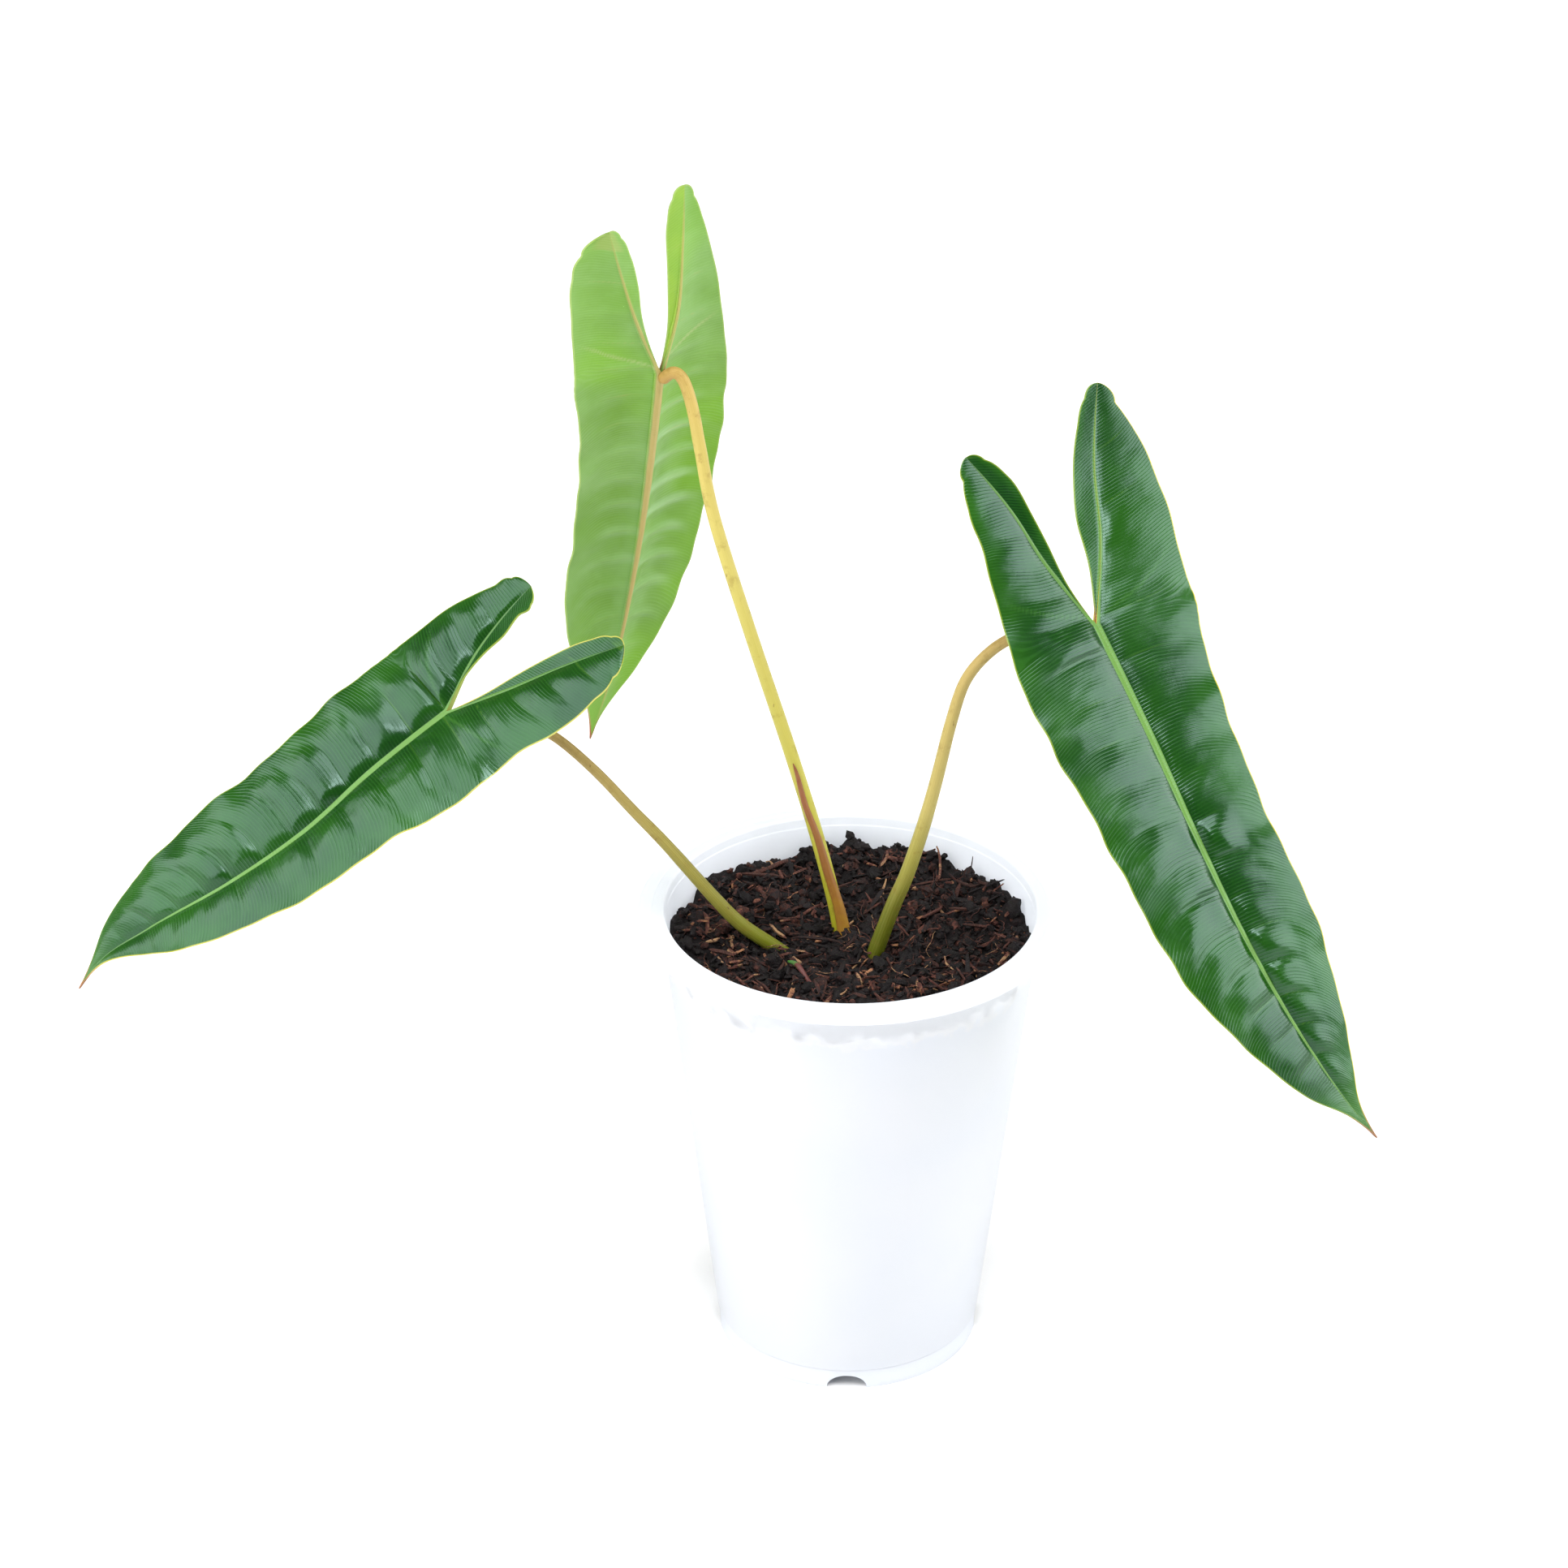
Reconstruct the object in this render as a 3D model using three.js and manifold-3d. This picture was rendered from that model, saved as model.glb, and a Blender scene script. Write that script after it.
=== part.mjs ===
// A young Philodendron billietiae in a white nursery pot: three long, narrow leaves on orange-tinged
// petioles, the spike of the next leaf, a small sprout, and a bark mix round a short buried stem.
// Millimetres, +Z up. The origin is the centre of the pot's foot, on the plane that the pot stands on.
// The leaves are laid out as seen from -Y, with +X to the right.
import * as THREE from 'three';
import { mergeVertices } from 'three/addons/utils/BufferGeometryUtils.js';
import Module from 'manifold-3d';

const wasm = await Module();
wasm.setup();

// Driving dimensions

const CLEARANCE = 0.3;

const POT = {
  height: 162,
  openingRadius: 61,
  flangeRadius: 70,
  flangeDrop: 1,
  flangeLip: 2.4,
  flangeThickness: 1.8,
  edgeRounding: 0.6,
  footRadius: 43.8,
  wall: 1.5,
  bandHeight: 7,
  bandStep: 0.6,
  floorHeight: 6,
  floorThickness: 1.8,
  padRadius: 11,
  padTaper: 1,
  sides: 52,
  notches: 4,
  notchWidth: 13.5,
  notchHeight: 5,
  drainHoles: 6,
  drainRadius: 4,
  drainCircle: 26,
};

const SOIL = {
  level: 147,
  rings: 12,
  sectors: 42,
  lump: 1.5,
  edgeSink: 1.2,
  wallGap: 0.7,
  seed: 20,
  chips: 18,
  chipSpread: 50,
  chipLift: 0.3,
  chipLength: [6, 15],
  chipWidth: [2, 4],
  chipThickness: [1.2, 2.4],
  chipRoll: [-0.5, 0.5],
  chipPitch: [-0.35, 0.35],
};

const CROWN = {
  centre: [-3, 3, 121],
  radius: 12,
  height: 25,
  scars: 3,
  scarDepth: 0.5,
  roots: 7,
  rootLength: 34,
  rootRadius: 1.7,
  rootDips: [8, 13, 18],
};

// Sides and rings of the round stems.
const STALK = { sides: 10, rings: 24 };

const BLADE = {
  thickness: 0.8,
  ridgeHeight: 2,
  ridgeHalfWidth: 1.7,
  rise: 0.45,
  droop: 0.36,
  innerRise: 0.3,
  wave: 0.6,
  waveWidth: 30,
  wavesPerMidrib: 6.5,
  wavePhase: { left: 2.9, right: 0.8 },
  lobeTurn: [-0.35, 0.2],
  rowsOnMidrib: 26,
  outerColumns: [0.3, 0.55, 0.8, 1],
  innerColumns: [-1, -0.45, 0],
};

// Where the half-widths of a blade are given: -1 is the end of a basal lobe, 0 is the sinus, where
// the petiole joins, and 1 is the drip tip. Inner widths lie between a lobe's rib and the gap.
const OUTER_STATIONS = [-1, -0.93, -0.8, -0.55, -0.3, 0, 0.15, 0.3, 0.45, 0.6, 0.75, 0.86, 0.94, 1];
const INNER_STATIONS = [-1, -0.93, -0.8, -0.6, -0.4, -0.2, 0];
const MIDRIB_STATIONS = [0, 0.2, 0.4, 0.6, 0.8, 0.93, 1];
const LOBE_STATIONS = [0, 1 / 3, 2 / 3, 1];

// Each leaf: left and right are as seen on its upper face with the drip tip hanging down.
const LEAVES = {
  right: {
    face: [0.4, -0.72, 0.56],
    midrib: [
      [76.5, -12, 272], [93, -29.5, 243.5], [108.5, -46, 214.5], [125, -60, 184.5],
      [144.5, -69.5, 153], [159.5, -71.5, 131], [168.5, -71.5, 119.5],
    ],
    left: {
      lobe: [[76.5, -12, 272], [61, -6, 289], [49, 0, 306], [35, 4, 322]],
      outer: [0, 6.5, 12.5, 17.5, 24.5, 34.5, 35, 32, 30, 27.5, 19, 11, 2.5, 0],
      inner: [0, 4, 6, 5, 4, 1.5, 0],
    },
    right: {
      lobe: [[76.5, -12, 272], [78, 5, 293], [76, 20, 313], [77, 35, 334]],
      outer: [0, 6.5, 15, 22.5, 27, 34.5, 29, 26.5, 25.5, 25.5, 19.5, 11.5, 3, 0],
      inner: [0, 4, 6, 8.5, 9, 4, 0],
    },
    petiole: [
      [1, -3, 127], [5, -5, 136], [8.5, -6, 147], [14, -5.5, 165.5], [18.5, -5, 177.5],
      [23.5, -4, 194.5], [28, -3, 211], [31.5, -2, 232], [36, -1, 247], [44, 0, 257],
      [54, 0, 262.5], [65, -2.5, 267], [75.5, -9.5, 268.8],
    ],
    petioleRadius: [2.9, 2.1],
  },
  left: {
    face: [-0.38, -0.64, 0.66],
    midrib: [
      [-129.5, -6, 236], [-153, -15, 219.5], [-175, -23.5, 201.5], [-200, -27, 184],
      [-227.5, -24, 165], [-245, -20, 150], [-252, -21, 140.5],
    ],
    left: {
      lobe: [[-129.5, -6, 236], [-122, 4, 249], [-113, 11, 260], [-103, 14, 271]],
      outer: [0, 7, 10, 17, 23, 29, 29, 28.5, 28, 26.5, 20, 12.5, 2.5, 0],
      inner: [0, 6, 5, 5.5, 3, 0.5, 0],
    },
    right: {
      lobe: [[-129.5, -6, 236], [-110, -8, 245], [-91, -10, 255], [-72, -15, 265]],
      outer: [0, 10, 16, 21.5, 23, 31, 29.5, 24, 21.5, 17.5, 12.5, 5, 1, 0],
      inner: [0, 4.5, 6, 5.5, 4, 1.5, 0],
    },
    petiole: [
      [-11, 1, 128], [-16.5, -1.5, 139.5], [-24.5, -2, 147], [-36, -2, 156], [-46, -2, 166.5],
      [-60, -1, 185], [-71, 0, 196], [-84, 1, 211], [-97, 2, 223], [-107, 1.5, 227.5],
      [-117.5, 0.5, 230.5], [-129, -4, 233],
    ],
    petioleRadius: [2.6, 2.1],
  },
  back: {
    face: [-0.45, 0.84, 0.29],
    midrib: [
      [-62, 40, 335], [-65.5, 53, 302.5], [-69.5, 64.5, 270.5], [-74.5, 72, 239.5],
      [-80.5, 75, 210.5], [-85.5, 72.5, 194.5], [-88.5, 70, 186],
    ],
    left: {
      lobe: [[-62, 40, 335], [-56, 36, 358], [-54, 31, 381], [-53, 23, 404]],
      outer: [0, 4, 7.5, 12, 17, 25, 26.5, 26, 23.5, 20.5, 13.5, 5.5, 1, 0],
      inner: [0, 3.5, 5, 4.5, 3.5, 1.5, 0],
    },
    right: {
      lobe: [[-62, 40, 335], [-68, 32, 353], [-72, 24, 371], [-75, 17, 389]],
      outer: [0, 11, 14.5, 18.5, 23, 28, 25, 24, 23.5, 23, 17, 10, 3.5, 0],
      inner: [0, 3.5, 5, 4.5, 2.5, 1, 0],
    },
    petiole: [
      [-4, 10.5, 128], [-3.5, 10.5, 138], [-3.5, 10, 147], [-6, 11, 160.5], [-13, 13, 184],
      [-21, 17, 212], [-33, 23, 250.5], [-44.5, 30, 287.5], [-49, 33.5, 310.5], [-51, 35, 322],
      [-53, 36, 330], [-55, 36.5, 334.5], [-57.5, 36.5, 336], [-60.5, 37.8, 333.5],
    ],
    petioleRadius: [2.6, 2.2],
  },
};

const NEW_LEAF = {
  path: [
    [-1.5, 3, 129], [-1.5, 4.5, 138], [-2, 6.5, 147.5], [-3.5, 7.5, 158], [-7, 9, 169.5],
    [-10.5, 11, 182], [-14.5, 13, 193], [-18, 15, 205],
  ],
  radii: [2.2, 2.4, 2.4, 2.1, 1.8, 1.3, 0.9, 0.3],
};

// The sprout lies along the soil: places across the soil, and heights above its surface.
const SPROUT = {
  path: [[-10.5, -29, -3], [-12.5, -25, 0.6], [-15, -20, 1.2], [-18, -14.5, 1.4], [-21, -9, 2.2]],
  radii: [1, 1, 0.95, 1.1, 0.4],
};

// Numbers along a line

function lerp(a, b, t) {
  return a + (b - a) * t;
}

function clamp01(t) {
  return Math.min(1, Math.max(0, t));
}

function smoothStep(t) {
  const c = clamp01(t);
  return c * c * (3 - 2 * c);
}

// The value at u of a cubic curve through values at uneven stations, with each inner slope the
// mean of its two neighbouring slopes weighted by the other's span.
function through(stations, values, u) {
  const last = stations.length - 1;
  const slope = (i) => (values[i + 1] - values[i]) / (stations[i + 1] - stations[i]);
  const span = (i) => stations[i + 1] - stations[i];
  const inner = (i) => (slope(i - 1) * span(i) + slope(i) * span(i - 1)) / (span(i - 1) + span(i));
  const tangent = (i) => {
    if (i === 0) return 1.5 * slope(0) - 0.5 * inner(1);
    if (i === last) return 1.5 * slope(last - 1) - 0.5 * inner(last - 1);
    return inner(i);
  };
  let i = 0;
  while (i < last - 1 && u >= stations[i + 1]) i += 1;
  const h = span(i);
  const t = (u - stations[i]) / h;
  return (1 + 2 * t) * (1 - t) ** 2 * values[i]
    + t * (1 - t) ** 2 * h * tangent(i)
    + t * t * (3 - 2 * t) * values[i + 1]
    + t * t * (t - 1) * h * tangent(i + 1);
}

function pointThrough(stations, points, u) {
  const along = (axis) => through(stations, points.map((p) => p[axis]), u);
  return new THREE.Vector3(along(0), along(1), along(2));
}

function evenStations(count) {
  return Array.from({ length: count }, (_, i) => i / (count - 1));
}

// A repeatable random number between 0 and 1 at each call.
function seededRandom(seed) {
  let state = seed;
  return () => {
    state = (state * 1664525 + 1013904223) % 4294967296;
    return state / 4294967296;
  };
}

// Closed solids

// The geometry with equal corners merged and triangles of no area left out.
function welded(geometry) {
  const bare = geometry.clone();
  bare.deleteAttribute('normal');
  bare.deleteAttribute('uv');
  const merged = mergeVertices(bare, 1e-4);
  const index = Array.from(merged.index.array);
  const kept = [];
  for (let i = 0; i < index.length; i += 3) {
    const [a, b, c] = index.slice(i, i + 3);
    if (a !== b && b !== c && c !== a) kept.push(a, b, c);
  }
  merged.setIndex(kept);
  return merged;
}

function toSolid(geometry) {
  const shape = welded(geometry);
  const mesh = new wasm.Mesh({
    numProp: 3,
    vertProperties: new Float32Array(shape.attributes.position.array),
    triVerts: new Uint32Array(shape.index.array),
  });
  return new wasm.Manifold(mesh);
}

// The largest body of a solid, as a geometry.
function toGeometry(solid) {
  const bodies = solid.decompose();
  bodies.sort((a, b) => b.volume() - a.volume());
  const mesh = bodies[0].getMesh();
  const geometry = new THREE.BufferGeometry();
  geometry.setAttribute('position', new THREE.BufferAttribute(new Float32Array(mesh.vertProperties), 3));
  geometry.setIndex(Array.from(mesh.triVerts));
  return geometry;
}

function triangles(points, index) {
  const geometry = new THREE.BufferGeometry();
  const places = points.flatMap((p) => [p.x, p.y, p.z]);
  geometry.setAttribute('position', new THREE.Float32BufferAttribute(places, 3));
  geometry.setIndex(index);
  return geometry;
}

// A skin of rows of points that closes round each row.
function ringedSkin(rows) {
  const sides = rows[0].length;
  const index = [];
  for (let i = 0; i + 1 < rows.length; i += 1) {
    for (let j = 0; j < sides; j += 1) {
      const next = (j + 1) % sides;
      const corner = (row, side) => row * sides + side;
      index.push(corner(i, j), corner(i, next), corner(i + 1, next));
      index.push(corner(i, j), corner(i + 1, next), corner(i + 1, j));
    }
  }
  return triangles(rows.flat(), index);
}

// A solid turned round Z from a profile of [radius, height] that starts and ends on the axis.
function turned(profile, sides) {
  const points = profile.map(([radius, height]) => new THREE.Vector2(radius, height));
  const geometry = new THREE.LatheGeometry(points, sides);
  geometry.rotateX(Math.PI / 2);
  return geometry;
}

// A round tube of changing radius through a list of points, with closed ends.
function tube(path, radii, sides, rings, grow = 0) {
  const stations = evenStations(path.length);
  const radiusStations = evenStations(radii.length);
  const centres = evenStations(rings).map((u) => pointThrough(stations, path, u));
  const rows = [];
  let side = new THREE.Vector3(0, 1, 0);
  centres.forEach((centre, i) => {
    const before = centres[Math.max(0, i - 1)];
    const after = centres[Math.min(rings - 1, i + 1)];
    const along = after.clone().sub(before).normalize();
    side = side.clone().addScaledVector(along, -side.dot(along)).normalize();
    const up = along.clone().cross(side);
    const radius = through(radiusStations, radii, i / (rings - 1)) + grow;
    const end = i === 0 ? -grow : grow * (i === rings - 1);
    const middle = centre.clone().addScaledVector(along, end);
    if (i === 0) rows.push(Array(sides).fill(middle));
    rows.push(Array.from({ length: sides }, (_, j) => {
      const angle = (2 * Math.PI * j) / sides;
      return middle.clone()
        .addScaledVector(side, radius * Math.cos(angle))
        .addScaledVector(up, radius * Math.sin(angle));
    }));
    if (i === rings - 1) rows.push(Array(sides).fill(middle));
  });
  return ringedSkin(rows);
}

// Pot: a thin tapered wall with a flange, a foot ring with half-oval notches, and a raised floor
// with drain holes round a flat pad that stands on the ground.
function potSolid() {
  const footInner = POT.footRadius - POT.wall;
  const floorTop = POT.floorHeight + POT.floorThickness;
  const neck = POT.openingRadius + POT.wall;
  const edge = POT.edgeRounding;
  const flangeTop = POT.height - POT.flangeDrop;
  const flangeUnder = flangeTop - POT.flangeThickness;
  const lipBottom = flangeTop - POT.flangeLip;
  const profile = [
    [0, 0], [POT.padRadius, 0], [POT.padRadius + POT.padTaper, POT.floorHeight],
    [footInner, POT.floorHeight], [footInner, 0], [POT.footRadius, 0], [POT.footRadius, POT.bandHeight],
    [POT.footRadius + POT.bandStep, POT.bandHeight + POT.bandStep], [neck, flangeUnder - POT.wall],
    [neck + POT.wall, flangeUnder], [POT.flangeRadius - 2 * edge, flangeUnder],
    [POT.flangeRadius - edge, lipBottom], [POT.flangeRadius, lipBottom + edge / 2],
    [POT.flangeRadius, flangeTop - edge], [POT.flangeRadius - edge, flangeTop],
    [POT.openingRadius + edge, POT.height], [POT.openingRadius, POT.height - edge],
    [potInnerRadius(floorTop), floorTop], [0, floorTop],
  ];
  let solid = toSolid(turned(profile, POT.sides));
  for (let i = 0; i < POT.notches; i += 1) {
    solid = solid.subtract(toSolid(notchTool((2 * Math.PI * i) / POT.notches - Math.PI / 2)));
  }
  for (let i = 0; i < POT.drainHoles; i += 1) {
    solid = solid.subtract(toSolid(drainTool((2 * Math.PI * (i + 0.5)) / POT.drainHoles)));
  }
  return solid;
}

// The radius of the pot's inner wall at a height.
function potInnerRadius(height) {
  const top = POT.height - POT.edgeRounding;
  const bottom = POT.floorHeight;
  const footInner = POT.footRadius + POT.bandStep - POT.wall;
  return lerp(footInner, POT.openingRadius, (height - bottom) / (top - bottom));
}

// A half-oval bar that cuts one notch through the foot ring, in the direction of an angle.
function notchTool(angle) {
  const depth = 8;
  const shape = new THREE.Shape();
  shape.moveTo(-POT.notchWidth / 2, -1);
  shape.lineTo(POT.notchWidth / 2, -1);
  shape.lineTo(POT.notchWidth / 2, 0);
  shape.absellipse(0, 0, POT.notchWidth / 2, POT.notchHeight, 0, Math.PI, false, 0);
  shape.closePath();
  const geometry = new THREE.ExtrudeGeometry(shape, { depth, bevelEnabled: false, curveSegments: 7 });
  geometry.rotateX(Math.PI / 2);
  geometry.rotateZ(Math.PI);
  geometry.translate(0, POT.footRadius - 0.6 * depth, 0);
  geometry.rotateZ(angle - Math.PI / 2);
  return geometry;
}

function drainTool(angle) {
  const depth = 3 * POT.floorThickness;
  const geometry = new THREE.CylinderGeometry(POT.drainRadius, POT.drainRadius, depth, 14);
  const [x, y] = [POT.drainCircle * Math.cos(angle), POT.drainCircle * Math.sin(angle)];
  geometry.rotateX(Math.PI / 2);
  geometry.translate(x, y, POT.floorHeight + POT.floorThickness / 2);
  return geometry;
}

// Soil: bark mix that fills the pot to below its rim, with a lumpy top and bark chips that stand
// out of it. The height of the top is a sum of slow and quick waves.
function soilTop(x, y) {
  const slow = Math.sin(0.11 * x + 0.6) * Math.cos(0.13 * y - 0.4);
  const bent = { x: 1.4 * Math.sin(0.27 * y), y: 0.9 * Math.sin(0.21 * x) };
  const middle = Math.sin(0.36 * x + bent.x) * Math.cos(0.33 * y + bent.y);
  const quick = Math.sin(0.83 * x + 0.37 * y + 1.1) * Math.sin(0.79 * y - 0.33 * x);
  const edge = Math.hypot(x, y) / POT.openingRadius;
  return SOIL.level + SOIL.lump * (0.8 * slow + middle + 0.5 * quick) - SOIL.edgeSink * edge ** 4;
}

function soilBody() {
  const floorTop = POT.floorHeight + POT.floorThickness + CLEARANCE;
  const outer = potInnerRadius(SOIL.level) - SOIL.wallGap;
  const ring = (radius, height) => Array.from({ length: SOIL.sectors }, (_, j) => {
    const angle = (2 * Math.PI * j) / SOIL.sectors;
    const x = radius * Math.cos(angle);
    const y = radius * Math.sin(angle);
    return new THREE.Vector3(x, y, height(x, y));
  });
  const rows = [ring(0, () => floorTop), ring(potInnerRadius(floorTop) - SOIL.wallGap, () => floorTop)];
  const waist = lerp(floorTop, SOIL.level, 0.5);
  rows.push(ring(potInnerRadius(waist) - SOIL.wallGap, () => waist));
  for (let i = SOIL.rings; i >= 0; i -= 1) rows.push(ring((outer * i) / SOIL.rings, soilTop));
  return toSolid(ringedSkin(rows));
}

function barkChip(random) {
  const between = ([low, high]) => lerp(low, high, random());
  const length = between(SOIL.chipLength);
  const chip = new THREE.BoxGeometry(length, between(SOIL.chipWidth), between(SOIL.chipThickness));
  chip.rotateX(between(SOIL.chipRoll));
  chip.rotateY(between(SOIL.chipPitch));
  chip.rotateZ(2 * Math.PI * random());
  const radius = SOIL.chipSpread * Math.sqrt(random());
  const angle = 2 * Math.PI * random();
  const x = radius * Math.cos(angle);
  const y = radius * Math.sin(angle);
  chip.translate(x, y, soilTop(x, y) + SOIL.chipLift);
  return toSolid(chip);
}

function soilSolid(hollows) {
  const random = seededRandom(SOIL.seed);
  let solid = soilBody();
  for (let i = 0; i < SOIL.chips; i += 1) solid = solid.add(barkChip(random));
  hollows.forEach((hollow) => {
    solid = solid.subtract(hollow);
  });
  return solid;
}

// Crown: the short buried stem that the petioles grow from, ringed by old leaf scars, and its roots.
function crownSolid(grow = 0) {
  const [x, y, z] = CROWN.centre;
  const half = CROWN.height / 2 + grow;
  const rows = 10;
  const profile = evenStations(rows + 1).map((u) => {
    const scar = CROWN.scarDepth * Math.cos(2 * Math.PI * CROWN.scars * u);
    const radius = (CROWN.radius + scar) * Math.sqrt(Math.max(0, 1 - (2 * u - 1) ** 4)) + grow;
    const onAxis = u === 0 || u === 1;
    return [onAxis ? 0 : radius, lerp(-half, half, u)];
  });
  const stem = turned(profile, 16);
  stem.translate(x, y, z);
  let solid = toSolid(stem);
  for (let i = 0; i < CROWN.roots; i += 1) {
    const angle = (2 * Math.PI * (i + 0.3)) / CROWN.roots;
    const dip = CROWN.rootDips[i % CROWN.rootDips.length];
    const reach = (share, height) => [
      x + CROWN.rootLength * share * Math.cos(angle + 0.25 * share),
      y + CROWN.rootLength * share * Math.sin(angle + 0.25 * share),
      z - 2 + height,
    ];
    const path = [reach(0.15, 0), reach(0.5, -0.3 * dip), reach(0.8, -dip), reach(1, -2.4 * dip)];
    const thickness = CROWN.rootRadius;
    solid = solid.add(toSolid(tube(path, [thickness, 0.8 * thickness, 0.5 * thickness], 5, 6, grow)));
  }
  return solid;
}

// Petiole: a round leaf stalk from the crown to the sinus of its blade, wider at its base.
function petioleTube(leaf, grow = 0) {
  const [base, top] = leaf.petioleRadius;
  const radii = [base, lerp(base, top, 0.5), top, top];
  return toSolid(tube(leaf.petiole, radii, STALK.sides, STALK.rings, grow));
}

// The new leaf, still rolled up in its sheath, stands in a groove of the back petiole.
function newLeafSolid(grow = 0) {
  return toSolid(tube(NEW_LEAF.path, NEW_LEAF.radii, STALK.sides, 16, grow));
}

function sproutSolid(grow = 0) {
  const path = SPROUT.path.map(([x, y, lift]) => [x, y, soilTop(x, y) + lift]);
  return toSolid(tube(path, SPROUT.radii, 8, 10, grow));
}

// Blade: an arrow-shaped sheet. Its spine runs from the end of a basal lobe along the lobe's rib to
// the sinus, and on along the midrib to the drip tip. Each half is the sheet on one side of it.

// The spine's point at station s, the way that the blade lies there, the direction of its upper
// face and the direction out to the margin of one half.
function spineFrame(leaf, half, s) {
  const midrib = (u) => pointThrough(MIDRIB_STATIONS, leaf.midrib, u);
  const lobe = (u) => pointThrough(LOBE_STATIONS, leaf[half].lobe, u);
  const step = 0.001;
  const onMidrib = Math.min(1, Math.max(step, s));
  const onLobe = Math.min(1, Math.max(step, -s));
  const alongMidrib = midrib(onMidrib).sub(midrib(onMidrib - step)).normalize();
  const alongLobe = lobe(onLobe - step).sub(lobe(onLobe)).normalize();
  const [turnStart, turnEnd] = BLADE.lobeTurn;
  const share = smoothStep((s - turnStart) / (turnEnd - turnStart));
  const lie = alongLobe.lerp(alongMidrib, share).normalize();
  const face = new THREE.Vector3(...leaf.face);
  face.addScaledVector(lie, -face.dot(lie)).normalize();
  const out = face.clone().cross(lie).multiplyScalar(half === 'right' ? 1 : -1);
  return { point: s >= 0 ? midrib(clamp01(s)) : lobe(clamp01(-s)), face, out };
}

// A point of the sheet: across is 0 on the spine, 1 on the outer margin and -1 on a lobe's inner
// margin. Each half rises from the spine and droops again, and waves along its margin.
function sheetPoint(leaf, half, s, across) {
  const { point, face, out } = spineFrame(leaf, half, s);
  if (across < 0) {
    const width = -across * Math.max(0, through(INNER_STATIONS, leaf[half].inner, s));
    return point.addScaledVector(out, -width).addScaledVector(face, BLADE.innerRise * width);
  }
  const width = Math.max(0, through(OUTER_STATIONS, leaf[half].outer, s));
  const turn = 2 * Math.PI * BLADE.wavesPerMidrib * s + BLADE.wavePhase[half];
  const wave = BLADE.wave * (Math.sin(turn) + 0.7 * Math.sin(1.7 * turn)) * (width / BLADE.waveWidth);
  const height = width * across * (BLADE.rise - BLADE.droop * across) + wave * across ** 2;
  return point.addScaledVector(out, width * across).addScaledVector(face, height);
}

// The stations of the sheet's rows, closer at the lobes' ends and at the drip tip.
function bladeRows() {
  const lobe = [-1, -0.985, -0.96, -0.92, -0.86, -0.78, -0.69, -0.6, -0.5, -0.4, -0.3, -0.2, -0.1];
  const tip = [0.93, 0.96, 0.98, 1];
  const midrib = evenStations(BLADE.rowsOnMidrib).map((u) => u * 0.9);
  return [...lobe, ...midrib, ...tip];
}

// The whole sheet as corners and triangles: both halves, each with its lobe's inner strip.
function bladeSheet(leaf) {
  const rows = bladeRows();
  const ridge = (s, across) => (across === 0 ? BLADE.ridgeHeight * (1 - 0.75 * Math.abs(s)) : 0);
  const corners = [];
  const ridges = [];
  const index = [];
  ['left', 'right'].forEach((half) => {
    const outerColumns = (s) => {
      const width = Math.max(1e-6, through(OUTER_STATIONS, leaf[half].outer, s));
      return [0, Math.min(0.15, BLADE.ridgeHalfWidth / width), ...BLADE.outerColumns];
    };
    const strip = (columnsAt, stations) => {
      const first = corners.length;
      const columns = columnsAt(0).length;
      stations.forEach((s) => {
        columnsAt(s).forEach((across) => {
          corners.push(sheetPoint(leaf, half, s, across));
          ridges.push(ridge(s, across));
        });
      });
      for (let i = 0; i + 1 < stations.length; i += 1) {
        for (let j = 0; j + 1 < columns; j += 1) {
          const a = first + i * columns + j;
          const b = a + columns;
          const quad = [a, b, a + 1, b, b + 1, a + 1];
          index.push(...(half === 'right' ? quad : quad.reverse()));
        }
      }
    };
    strip(outerColumns, rows);
    strip(() => BLADE.innerColumns, rows.filter((s) => s <= 0));
  });
  return weldedSheet(corners, ridges, index);
}

// Merges equal corners of a sheet, and keeps the larger ridge of two that merge.
function weldedSheet(corners, ridges, index) {
  const places = new Map();
  const points = [];
  const heights = [];
  const renamed = corners.map((corner, i) => {
    const key = corner.toArray().map((value) => Math.round(value * 1000)).join(' ');
    if (!places.has(key)) {
      places.set(key, points.length);
      points.push(corner);
      heights.push(ridges[i]);
    }
    const place = places.get(key);
    heights[place] = Math.max(heights[place], ridges[i]);
    return place;
  });
  const kept = [];
  for (let i = 0; i < index.length; i += 3) {
    const [a, b, c] = index.slice(i, i + 3).map((corner) => renamed[corner]);
    if (a !== b && b !== c && c !== a) kept.push(a, b, c);
  }
  return { points, heights, index: kept };
}

// The edges of a sheet that only one triangle has, in that triangle's direction.
function openEdges(index) {
  const edges = new Map();
  for (let i = 0; i < index.length; i += 3) {
    const [a, b, c] = index.slice(i, i + 3);
    [[a, b], [b, c], [c, a]].forEach(([from, to]) => {
      if (!edges.delete(`${to} ${from}`)) edges.set(`${from} ${to}`, [from, to]);
    });
  }
  return [...edges.values()];
}

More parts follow.
